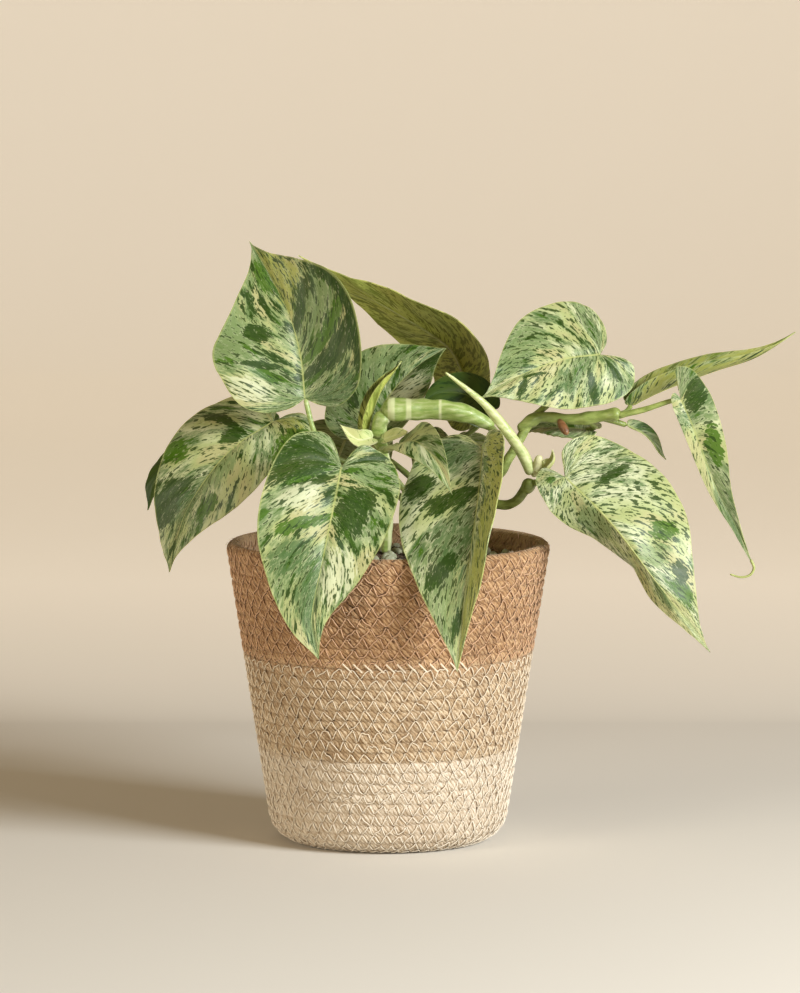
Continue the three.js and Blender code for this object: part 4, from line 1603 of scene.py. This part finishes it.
BLADES = (
    Blade(
        "leaf_upper_left", stem="left",
        rib=((-38, -20, 207), (-40, -18, 226), (-45, -13, 244), (-54, -7, 262), (-64, 0, 278)),
        face=((0.25, -1, 0.15), (0.1, -1, 0.2), (-0.1, -1, 0.5)), half=(40, 34), lobe=(5, 5),
        belly=(0.34, 0.44), hollow=(1.3, 1.4), fold=(4, 34), curl=(-12, 14), wave=(1.2, 1.2, 2, 0),
        petiole=((0, 1, 160), (-16, -8, 170), (-28, -18, 180), (-34, -22, 192)),
        marbling=Marbling(1, 0.7, 0.65, 0.7, patches=(
            Patch(-0.85, 0.56, 0.35, 0.13, Tone.SAGE), Patch(-0.5, 0.57, 0.16, 0.035),
            Patch(-0.45, 0.43, 0.2, 0.02), Patch(-0.5, 0.8, 0.35, 0.06, Tone.GREEN),
            Patch(-0.7, 0.3, 0.3, 0.06, Tone.CREAM), Patch(0.5, 0.78, 0.6, 0.13, Tone.OLIVE),
            Patch(0.35, 0.625, 0.45, 0.03), Patch(0.5, 0.56, 0.35, 0.045, Tone.SAGE),
            Patch(0.5, 0.47, 0.5, 0.03, Tone.GREEN), Patch(0.55, 0.4, 0.6, 0.035),
            Patch(0.6, 0.24, 0.45, 0.1, Tone.BLUE), Patch(0.95, 0.45, 0.1, 0.2),
        )),
    ),
    Blade(
        "leaf_arching_back", stem="back",
        rib=((38, 40, 203), (31, 47, 223), (8, 49, 239), (-18, 46, 254), (-42, 40, 269)),
        face=((0.5, 0.6, 0.5), (0.3, 0.6, 0.8), (0.3, 0.5, 0.8)), half=(24, 27), lobe=(13, 13),
        belly=(0.1, 0.14), hollow=(1.2, 1.2), fold=(4, 8), curl=(-16, -20), wave=(0.8, 0.8, 1.5, 1),
        petiole=((20, 26, 170), (34, 32, 180), (41, 38, 192)),
        marbling=Marbling(2, 0.3, 0.6, 0.9, tones=OLIVE),
    ),
    Blade(
        "leaf_lower_left", stem="left",
        rib=((-53, -6, 195), (-73, -16, 182), (-90, -20, 160), (-98, -18, 140), (-101, -15, 126)),
        face=((-0.2, -0.7, 0.7), (-0.3, -0.9, 0.4), (-0.5, -0.9, 0.1)), half=(26, 32), lobe=(12, 8),
        belly=(0.25, 0.25), hollow=(1.1, 1), fold=(10, 6), curl=(-10, -30), wave=(1.4, 1.2, 2, 2),
        petiole=((0, 3, 150), (-20, 6, 168), (-38, 6, 182), (-49, 2, 189)),
        marbling=Marbling(3, 0.35, 0.4, 0.6, patches=(
            Patch(0.62, 0.72, 0.5, 0.07), Patch(0.05, 0.77, 0.4, 0.08, Tone.BLUE),
            Patch(-0.6, 0.68, 0.16, 0.05, Tone.GREEN), Patch(-0.15, 0.6, 0.22, 0.1, Tone.SAGE),
            Patch(-0.8, 0.31, 0.35, 0.1, Tone.GREEN), Patch(0.8, 0.57, 0.25, 0.04, Tone.GREEN),
            Patch(0.5, 0.43, 0.4, 0.02), Patch(0.18, 0.46, 0.14, 0.05),
            Patch(-0.2, 0.9, 0.9, 0.025), Patch(-0.4, 0.18, 0.4, 0.08, Tone.OLIVE),
        )),
    ),
    Blade(
        "leaf_left_behind", stem="back",
        rib=((-62, 20, 187), (-86, 27, 180), (-107, 29, 167), (-113, 28, 150)),
        face=((-0.3, -0.5, 0.9), (-0.6, -0.6, 0.6)), half=(22, 18), lobe=(11, 11), belly=(0.2, 0.25),
        fold=(10, 6), curl=(-20, -20),
        petiole=((14, 24, 150), (-10, 26, 168), (-38, 23, 180), (-55, 20, 184)),
        marbling=Marbling(4, 0.4, 0.2, 0.2, tones=SHADED_BACK_TONES),
    ),
    Blade(
        "leaf_front_left", stem="left",
        rib=((-21, -58, 179), (-24, -69, 164), (-29, -79, 140), (-34, -83, 114), (-31, -84, 95)),
        face=((0.1, -0.9, 0.45), (0.05, -1, 0.3), (0, -1, 0)), half=(28, 33), lobe=(12, 15),
        belly=(0.1, 0.3), hollow=(1, 0.9), fold=(6, 10), curl=(-8, -12), wave=(1.3, 1.3, 2, 0.5),
        petiole=((-2, -6, 178), (-9, -24, 178), (-17, -46, 179)),
        marbling=Marbling(5, 0.6, 0.55, 0.7, patches=(
            Patch(-0.35, 0.5, 0.28, 0.09), Patch(0.6, 0.29, 0.45, 0.13),
            Patch(-0.6, 0.2, 0.5, 0.04), Patch(0.3, 0.78, 0.36, 0.12, Tone.BLUE),
            Patch(0.6, 0.62, 0.32, 0.05, Tone.BLUE), Patch(0.35, 0.535, 0.4, 0.02, Tone.GREEN),
            Patch(-0.45, 0.33, 0.22, 0.07, Tone.SAGE), Patch(-0.5, 0.7, 0.4, 0.08, Tone.CREAM),
            Patch(0.5, 0.44, 0.3, 0.04, Tone.CREAM),
        )),
    ),
    Blade(
        "leaf_front_right", stem="left",
        rib=((43, -48, 186), (41, -64, 167), (37, -81, 142), (33, -88, 113), (31, -88, 90)),
        face=((-0.45, -0.9, 0.3), (-0.4, -1, 0.2), (-0.2, -1, 0)), half=(19, 36.5), lobe=(6, 10),
        belly=(0.16, 0.27), fold=((40, 46, 36), 10), curl=(-20, -6), wave=(0.8, 1, 2, 1),
        petiole=((47, -5, 192), (49, -14, 191), (46, -34, 189)),
        marbling=Marbling(6, 0.2, 0.15, 0.75, patches=(
            # The first patch paints the folded left half olive: painted shade, as that half turns away from
            # the light.
            Patch(-0.7, 0.6, 0.4, 0.5, Tone.OLIVE), Patch(0.6, 0.76, 0.5, 0.13, Tone.SAGE),
            Patch(0.3, 0.62, 0.32, 0.11, Tone.BLUE), Patch(0.32, 0.48, 0.34, 0.035),
            Patch(0.45, 0.25, 0.4, 0.1, Tone.BLUE), Patch(0.8, 0.4, 0.2, 0.05),
            Patch(0.3, 0.85, 0.45, 0.03), Patch(0.55, 0.68, 0.3, 0.03),
        )),
    ),
    Blade(
        "leaf_upper_centre", stem="back", rib=((-8, 20, 190), (2, 25, 206), (14, 29, 218), (27, 32, 226)),
        face=((-0.3, -0.8, 0.5), (-0.1, -0.8, 0.5)), half=(29, 26), lobe=(11, 9), belly=(0.25, 0.25),
        fold=(6, 20), curl=(-10, 20), wave=(1, 1, 2, 0),
        petiole=((16, 20, 150), (4, 22, 165), (-4, 24, 178)),
        marbling=Marbling(7, 0.7, 0.5, 0.6, patches=(
            Patch(-0.7, 0.5, 0.6, 0.25, Tone.SAGE), Patch(-0.5, 0.4, 0.12, 0.05),
            Patch(-0.85, 0.52, 0.15, 0.05), Patch(0.5, 0.85, 0.5, 0.1),
            Patch(0.4, 0.6, 0.5, 0.12, Tone.CREAM),
        )),
    ),
    Blade(
        "leaf_upper_right", stem="right", rib=((98, 6, 225), (80, 0, 223), (60, -8, 216), (43, -15, 207)),
        face=((0.05, -0.85, 0.55), (-0.1, -0.9, 0.45)), half=(26, 31), lobe=(14, 6), belly=(0.22, 0.2),
        hollow=(0.9, 1.2), fold=(2, 2), curl=(-20, -12), wave=(1.2, 1.2, 2, 2),
        petiole=((66, 4, 195), (76, 9, 203), (90, 12, 214)),
        marbling=Marbling(8, 0.45, 0.35, 0.85, patches=(
            Patch(-0.65, 0.4, 0.42, 0.022), Patch(-0.45, 0.53, 0.24, 0.03, Tone.BLUE),
            Patch(-0.55, 0.75, 0.25, 0.02), Patch(-0.4, 0.24, 0.32, 0.04),
            Patch(0.65, 0.72, 0.38, 0.12, Tone.SAGE), Patch(0.6, 0.58, 0.3, 0.04, Tone.SAGE),
            Patch(-0.2, 0.7, 0.05, 0.06),
        )),
    ),
    Blade(
        "leaf_rolled_right", stem="right",
        rib=((113, 11, 201), (127, 10, 208), (150, 6, 217), (170, 3, 224), (188, 0, 236)),
        face=((-0.5, -0.3, 0.8), (-0.3, -0.3, 0.9), (-0.3, -0.3, 0.9)), half=(10, 10), lobe=(2, 2),
        belly=(0.25, 0.25), fold=(40, 40), curl=(60, 60), petiole=((104, 1, 197), (110, 7, 198)),
        marbling=Marbling(9, 0.5, 0.5, 0.7, patches=(
            Patch(0, 0.6, 1, 0.5, Tone.OLIVE),
        )),
    ),
    Blade(
        "leaf_far_right", stem="right",
        rib=((135, -6, 205), (141, -8, 191), (152, -8, 163), (161, -7, 146), (169, -6, 128)),
        face=((-0.25, -0.9, 0.3), (-0.4, -0.9, 0.2), (-0.3, -1, 0.1)), half=(13.5, 5), lobe=(14, 4),
        belly=(0.08, 0.06), hollow=(1.6, 0.6), fold=(6, 20), curl=(-14, -10), wave=(1, 0.5, 1.5, 0),
        petiole=((106, 0, 197), (118, -2, 200), (130, -3, 204)),
        tail=((167.6, -6, 131), (169.2, -6, 127), (167.5, -6, 123.7), (163.3, -6, 122.6), (158, -6, 124)),
        marbling=Marbling(10, 0.5, 0.3, 0.6, patches=(
            Patch(-0.6, 0.34, 0.48, 0.09), Patch(0.1, 0.83, 0.9, 0.06, Tone.BLUE),
            Patch(-0.5, 0.55, 0.3, 0.06, Tone.GREEN),
        )),
    ),
    Blade(
        "leaf_lower_right", stem="front",
        rib=((81, -34, 172), (102, -45, 152), (122, -50, 126), (136, -49, 108), (147, -46, 93)),
        face=((0.15, -0.8, 0.6), (0.2, -0.9, 0.4), (0.4, -1, 0.1)), half=(39, 16), lobe=(12, 10),
        belly=(0.2, 0.12), hollow=(1.25, 0.9), fold=(2, (-10, -62, -86, -40, 0)), curl=(-20, -10),
        wave=(1, 0.5, 1.5, 1), petiole=((66, -21, 168), (71, -25, 169), (77, -30, 170)),
        marbling=Marbling(11, 0.15, 0.15, 0.85, patches=(
            Patch(0.3, 0.77, 0.36, 0.035, Tone.BLUE), Patch(-0.6, 0.76, 0.3, 0.04, Tone.GREEN),
            Patch(-0.6, 0.6, 0.2, 0.025, Tone.GREEN), Patch(-0.25, 0.66, 0.3, 0.035, Tone.SAGE),
            Patch(-0.45, 0.4, 0.25, 0.02), Patch(0.4, 0.5, 0.4, 0.06, Tone.SAGE),
            Patch(0.5, 0.22, 0.15, 0.05, Tone.GREEN), Patch(-0.7, 0.7, 0.15, 0.03),
        )),
    ),
    Blade(
        "leaf_small_right", stem="right", rib=((111, 5, 192), (120, 6, 187), (129, 6, 176)),
        face=((0.3, -0.7, 0.7), (0.5, -0.8, 0.4)), half=(4.5, 4.5), lobe=(1, 1), belly=(0.3, 0.3),
        fold=(25, 40), curl=(10, 10), petiole=((98, 3, 196), (105, 4, 194)),
        marbling=Marbling(11),
    ),
    Blade(
        "leaf_centre_back", stem="back", rib=((46, 12, 199), (36, 8, 206), (24, 6, 207), (15, 4, 202)),
        face=((0, -0.8, 0.6), (-0.2, -0.8, 0.5)), half=(12, 13), lobe=(5, 5), belly=(0.25, 0.25),
        fold=(6, 6), curl=(-20, -20), petiole=((20, 24, 176), (34, 22, 184), (44, 17, 193)),
        marbling=Marbling(13, 0.4, 0.4, 0.3, tones=SHADED_BACK_TONES),
    ),
    Blade(
        "leaf_spear_centre", stem="left", rib=((-10, -9, 191), (-4, -9, 208), (6, -7, 223)),
        face=((-0.9, -0.4, 0.3), (-0.9, -0.4, 0.3)), half=(6, 6), lobe=(1.5, 1.5), belly=(0.3, 0.3),
        fold=(42, 42), curl=(30, 30), petiole=((-3, -9, 182), (-7, -9, 187)),
        marbling=Marbling(14, 0.5, 0.4, 0.9, tones=OLIVE),
    ),
    Blade(
        "leaf_small_centre", stem="left",
        rib=((5, -21, 186), (13, -42, 189), (22, -60, 182), (29, -71, 168)),
        face=((-0.1, -0.5, 0.9), (-0.2, -0.8, 0.5)), half=(11, 12), lobe=(4, 4), belly=(0.2, 0.2),
        fold=(20, 12), curl=(10, -10), petiole=((-4, -9, 182), (0, -15, 182.5)),
        marbling=Marbling(14),
    ),
    Blade(
        "leaf_edge_on_right", stem="right", rib=((92, 16, 189), (76, 20, 190), (60, 22, 186)),
        face=((0, -0.2, 1), (0, -0.3, 1)), half=(15, 15), lobe=(6, 6), belly=(0.2, 0.2), fold=(8, 8),
        curl=(-20, -20), petiole=((92, 4, 195), (96, 10, 191)),
        marbling=Marbling(15),
    ),
    Blade(
        "leaf_back_left", stem="back",
        rib=((-20, 52, 182), (-25, 72, 166), (-27, 85, 140), (-26, 88, 104)),
        face=((0, 0.7, 0.7), (0, 1, 0.3), (0, 1, 0)), half=(25, 25), lobe=(12, 12), belly=(0.2, 0.2),
        fold=(8, 8), curl=(-12, -12), wave=(1, 1, 2, 1),
        petiole=((17, 26, 160), (2, 34, 172), (-12, 45, 179)),
        marbling=Marbling(16),
    ),
    Blade(
        "leaf_back_right", stem="back", rib=((30, 52, 180), (31, 71, 166), (30, 85, 140), (28, 88, 108)),
        face=((0, 0.7, 0.7), (0, 1, 0.3), (0, 1, 0)), half=(20, 20), lobe=(9, 8), belly=(0.2, 0.2),
        fold=(8, 8), curl=(-12, -12), wave=(1, 1, 2, 0), petiole=((19, 26, 165), (25, 40, 175)),
        marbling=Marbling(17),
    ),
    Blade(
        "sheath_left", slot="sheath", rib=((-7.2, -13.9, 188), (-14, -20, 188), (-22, -22, 195)),
        face=((-0.2, -0.9, 0.5), (0.2, -0.9, 0.4)), half=(5, 5), lobe=(1, 1), belly=(0.2, 0.35),
        fold=(20, 20), curl=(10, 10),
        marbling=Marbling(19, 0.2, 0.0, 0.2, tones=PALE),
    ),
    Blade(
        "sheath_centre", slot="sheath", rib=((-1.6, -14.8, 187.6), (4, -20, 190), (9, -24, 192)),
        face=((-0.2, -0.9, 0.5), (-0.2, -0.9, 0.5)), half=(3.4, 3.4), lobe=(1.4, 1.4), belly=(0.5, 0.5),
        hollow=(0.7, 0.7), fold=(20, 20), curl=(20, 20),
        marbling=Marbling(20, 0.2, 0.0, 0.2, tones=PALE),
    ),
    Blade(
        "sheath_right", slot="sheath",
        rib=((69, -24.4, 174.5), (73, -27, 175), (76, -28, 179), (75, -28, 184)),
        face=((-0.9, -0.3, 0.6), (-0.9, -0.4, 0.2)), half=(4.5, 4.5), lobe=(0.8, 0.8), belly=(0.4, 0.4),
        hollow=(0.8, 0.8), fold=(25, 25), curl=(35, 35),
        marbling=Marbling(21, 0.2, 0.0, 0.2, tones=PALE),
    ),
)


# Stems


@dataclass
class Run:
    """One stretch of a stem: the path of its middle and its radii, evenly spaced along it."""

    path: Sequence[Point]
    radii: Sequence[float]


@dataclass
class Stem:
    """A stem with its joints, and the petioles that grow from it."""

    name: str
    foot: Pair
    runs: Sequence[Run]
    joints: Sequence[tuple[Point, float]]
    finish: StemFinish
    buried: float = 92
    petiole_radius: float = 1.3

    def run(self, number: int, run: Run) -> bpy.types.Object:
        """Builds one stretch, swollen at the joints.

        Args:
            number: Which one, from the foot up.
            run: The stretch.

        Returns:
            The piece.
        """
        path = SmoothPath(run.path)

        def radius(distance: Array, angle: Array) -> Array:
            """The radius, with the joints' swellings and slight lengthwise ribs.

            Args:
                distance: Distances along the stretch.
                angle: Angles round it.

            Returns:
                The radius at each place.
            """
            width = np.interp(distance / path.length, np.linspace(0, 1, len(run.radii)), run.radii)
            place = path.along(distance)
            for centre, size in self.joints:
                away = np.linalg.norm(place - np.array(centre, float), axis=1)
                width = width + np.maximum(size - width, 0) * np.exp(-(away / 3.2) ** 2)
            rough = 0.05 * wander(distance / 9, np.sin(angle), number) + 0.04 * np.sin(5 * angle + number)
            return width * (1 + rough)

        return stalk(f"{self.name}_{number}", run.path, radius, 24, 0.9)

    def stretch_to(self, blade: Blade) -> bpy.types.Object:
        """Builds the petiole that carries a blade.

        Args:
            blade: The blade.

        Returns:
            The petiole.
        """
        path = SmoothPath([*blade.petiole, blade.rib[0]])

        def radius(distance: Array, angle: Array) -> Array:
            """The radius, thicker at the stem and slightly ribbed.

            Args:
                distance: Distances along the petiole.
                angle: Angles round it.

            Returns:
                The radius at each place.
            """
            share = distance / path.length
            width = self.petiole_radius * np.interp(share, [0, 0.12, 0.5, 0.93, 1], [1.5, 1.15, 1, 0.9, 0.8])
            rough = 0.04 * wander(distance / 14, angle * 0, len(blade.name))
            return width * (1 + 0.05 * np.cos(3 * angle) + rough)

        return stalk(f"{self.name}_{blade.name}_petiole", path.points, radius, 14, 1.2)

    def build(self, blades: Iterable[Blade]) -> None:
        """Builds the stem and the petioles of its blades.

        Args:
            blades: The blades that grow from it.
        """
        x, y = self.foot
        base = Run([(x, y, self.buried), (x, y, 110), (x, y, 122), tuple(self.runs[0].path[0])],
                   [2.3, 2.35, 2.35, self.runs[0].radii[0]])
        parts = [self.run(number, run) for number, run in enumerate([base, *self.runs])]
        parts += [self.stretch_to(blade) for blade in blades]
        settle(join(parts, self.name + "_grown"), "stem", self.finish.material(), self.name)


STEMS = {
    "left": Stem(
        "stem_left", (-1, 6),
        [Run([(-1, 6, 132), (0, 3, 150), (0, -3, 168), (-4, -10, 190)], [2.4, 2.3, 2.6]),
         Run([(-3, -12, 201), (17, -10, 201), (35, -8, 199), (49, -5, 192)], [6, 4.8, 4.4, 2.3]),
         Run([(-5, -10, 187), (-4, -11, 194), (-1, -12, 200)], [2.6, 3.6, 4.4])],
        [((-4, -10, 189), 3.6)],
        StemFinish("stem, thick", srgb(150, 172, 92), srgb(206, 214, 160), srgb(112, 140, 62),
                   ((1.5, 1.6), (9.5, 1.2), (24, 0.6))),
    ),
    "right": Stem(
        "stem_right", (10, 14),
        [Run([(10, 14, 132), (14, 12, 141), (30, 7, 150), (50, 1, 168), (57, 1, 179), (66, 4, 195)],
             [2.2, 2.2, 2.2]),
         Run([(60, 2, 190), (70, 4, 196), (86, 4, 195), (100, 2, 197), (108, 0, 198)], [2.4, 2.4, 2.6])],
        [((66, 4, 195), 3.2), ((92, 3.4, 195.5), 3.2), ((105, 1, 197.5), 3.2)],
        StemFinish("stem, right", srgb(138, 154, 78), srgb(176, 188, 112), srgb(100, 112, 52)),
    ),
    "front": Stem(
        "stem_front", (8, 3),
        [Run([(8, 3, 132), (12, -1, 141), (26, -8, 150), (47, -14, 157), (57, -17, 158), (65, -20, 167)],
             [2.2, 2.2, 2.2]),
         Run([(63, -19, 163), (66, -21, 170)], [2.6, 3])],
        [((65, -21, 167), 3.4)],
        StemFinish("stem, front", srgb(132, 146, 72), srgb(170, 182, 106), srgb(96, 108, 50)),
    ),
    "back": Stem(
        "stem_back", (16, 22),
        [Run([(16, 22, 132), (16, 23, 145), (19, 26, 165), (22, 26, 178)], [2.3, 2.3, 2])],
        [((17, 25, 157), 3.2), ((20, 26, 170), 3.2)],
        StemFinish("stem, back", srgb(128, 142, 74), srgb(164, 176, 104), srgb(92, 104, 50)),
    ),
}


@dataclass
class Shoot:
    """The pale rolled leaf that has not opened yet, and the small bud and root nub near it."""

    path: Sequence[Point] = ((66, -23, 172), (62, -24, 181), (57, -25, 189), (51, -26, 197),
                             (44, -28, 205), (36, -30, 212), (26, -32, 220))
    radii: Sequence[float] = (2.7, 2.7, 2.6, 2.3, 1.7, 1.1, 0.5)
    finish: StemFinish = StemFinish("rolled shoot", srgb(190, 200, 134), srgb(222, 226, 176),
                                    srgb(146, 170, 92))
    bud: StemFinish = StemFinish("bud", srgb(214, 212, 160), srgb(234, 232, 194), srgb(186, 178, 118))
    nub: StemFinish = StemFinish("root nub", srgb(134, 92, 58), srgb(168, 126, 84), srgb(88, 54, 32))

    def build(self) -> None:
        """Builds the shoot, wound like a scroll, and the two outgrowths."""
        length = SmoothPath(self.path).length

        def radius(distance: Array, angle: Array) -> Array:
            """The radius, with the step of the rolled edge running round it.

            Args:
                distance: Distances along the shoot.
                angle: Angles round it.

            Returns:
                The radius at each place.
            """
            width = np.interp(distance / length, np.linspace(0, 1, len(self.radii)), self.radii)
            roll = (angle / TURN + distance / length * 1.3) % 1
            return width * (0.9 + 0.16 * roll)

        settle(stalk("shoot_scroll", self.path, radius, 36, 0.6), "shoot", self.finish.material(),
               "shoot_rolled")
        self.outgrowth("bud", [(66.5, -22, 171), (68, -24, 175), (69, -25, 179), (69.2, -25.2, 181.5)],
                       (1.2, 1.1, 11, 2.8), "shoot", self.bud)
        self.outgrowth("root_nub", [(79, 2.5, 195), (80.5, -0.5, 192.5), (82, -2.5, 190), (82.6, -3, 188.2)],
                       (1.0, 1.0, 9.5, 2.9), "stem", self.nub)

    def outgrowth(self, name: str, line: Sequence[Point], swelling: tuple[float, float, float, float],
                  slot: str, finish: StemFinish) -> None:
        """Builds a short swollen outgrowth.

        Args:
            name: Its name.
            line: What its middle runs through.
            swelling: Its least radius, how much thicker it gets, its length and the angle of its wave.
            slot: The record's material slot.
            finish: Its finish.
        """
        least, more, length, wave = swelling

        def radius(distance: Array, angle: Array) -> Array:
            """Its radius, thickest near the middle."""
            return least + more * np.sin(np.clip(distance / length, 0, 1) * wave)

        piece = stalk(name, line, radius, 16, 0.5)
        settle(piece, slot, finish.material())


# The studio


@dataclass
class Studio:
    """A seamless pale sweep that glows behind the plant as painted light, soft light from the right and the
    camera.

    The floor runs from its front edge to where it bends up into the wall; both are in millimetres.
    """

    front: float = -2700
    depth: float = 6800
    width: float = 6000
    bend_start: float = 2500
    bend_length: float = 700
    bend_height: float = 560
    bend_reach: float = 450
    key_power: float = 38
    fill_power: float = 15
    wall_glow: float = 0.33
    surround: float = 0.225
    lens: float = 187.9
    camera_place: Point = (5.5, -2386, 418.7)
    camera_tilt: float = 83.8

    def sweep(self) -> None:
        """Lays the floor, which rises to a wall far behind; behind the plant the paper glows, a painted
        light in place of a lit wall.
        """
        def place(across: Array, along: Array) -> Array:
            """Lays the points of the sweep.

            Args:
                across: Shares of the way from left to right.
                along: Shares of the way from the front edge, over the floor and up the wall.

            Returns:
                The points in millimetres.
            """
            distance = along * self.depth + self.front
            past = distance - self.bend_start
            bend = np.clip(past / self.bend_length, 0, 1) * math.pi / 2
            rise = np.where(past > 0, self.bend_height * (1 - np.cos(bend)), 0)
            rise = rise + np.maximum(past - self.bend_length, 0)
            reach = np.where(past > 0, self.bend_start + self.bend_reach * np.sin(bend), distance)
            return np.column_stack([(across - 0.5) * self.width, reach, rise])

        floor = smooth(laid_grid("sweep", 2, 136, place))
        graph = Graph("sweep paper", Roughness=0.9, Emission_Color=(1.0, 0.88, 0.7, 1.0))
        whole = graph.millimetres()
        behind = graph.add("SeparateXYZ", {0: whole}).outputs[1]
        # Painted light: the paper glows a warm tone from 350 mm behind the plant, full from 950 mm on, over
        # the far floor and the wall.
        glow = graph.math("POWER", graph.ramp(behind, 350, 950), 0.6)
        graph.feed("Emission Strength", graph.math("MULTIPLY", glow, self.wall_glow))
        # Painted light too: the paper's tone is lighter from the plant to 900 mm behind it, and darker again
        # from 2100 to 2900 mm, towards the bend and the wall.
        paper = graph.mix(graph.ramp(behind, 0, 900), srgb(227, 224, 216), srgb(243, 236, 226))
        paper = graph.mix(graph.ramp(behind, 2100, 2900), paper, srgb(226, 221, 214))
        blotch = graph.noise(whole, 0.002, 2)
        graph.feed("Base Color", graph.layered(paper, (blotch, 0.12, srgb(206, 190, 164))))
        floor.data.materials.append(graph.material)

    def lamp(self, name: str, place: Point, target: Point, size: Pair, power: float, colour: Colour) -> None:
        """Hangs a soft lamp that looks at a point.

        Args:
            name: Its name.
            place: Where it hangs, in millimetres.
            target: What it looks at.
            size: Its width and height.
            power: Its power in watts.
            colour: Its colour.
        """
        data = bpy.data.lights.new(name, "AREA")
        data.shape, data.size, data.size_y = "RECTANGLE", size[0] * MM, size[1] * MM
        data.energy, data.color = power, colour
        lamp = linked(name, data)
        lamp.location = Vector(place) * MM
        lamp.rotation_euler = (Vector(target) - Vector(place)).to_track_quat("-Z", "Y").to_euler()

    def camera(self) -> None:
        """Sets the camera where the photograph was taken from."""
        data = bpy.data.cameras.new("camera")
        data.lens, data.sensor_width, data.clip_end = self.lens, 36, 50
        camera = linked("camera", data)
        camera.location = Vector(self.camera_place) * MM
        camera.rotation_euler = (math.radians(self.camera_tilt), 0, 0)
        bpy.context.scene.camera = camera

    def build(self) -> None:
        """Sets the studio up."""
        self.sweep()
        self.lamp("key", (1195, -1003, 795), (0, 0, 110), (760, 480), self.key_power, (0.95, 0.98, 1.0))
        self.lamp("fill", (-1500, -1260, 480), (0, 0, 120), (900, 900), self.fill_power, (1.0, 0.9, 0.75))
        world = bpy.data.worlds.new("soft surround")
        world.use_nodes = True
        colour, strength = world.node_tree.nodes["Background"].inputs[:2]
        colour.default_value, strength.default_value = (1.0, 0.72, 0.38, 1), self.surround
        bpy.context.scene.world = world
        bpy.context.scene.view_settings.view_transform = "Standard"
        self.camera()


def main() -> None:
    """Builds the plant, its basket and the studio."""
    logging.basicConfig(level=logging.INFO, format="%(message)s")
    Basket().build()
    Filling().build()
    for blade in BLADES:
        blade.build()
    for name, stem in STEMS.items():
        stem.build([blade for blade in BLADES if blade.stem == name])
    Shoot().build()
    Studio().build()


if __name__ == "__main__":
    main()
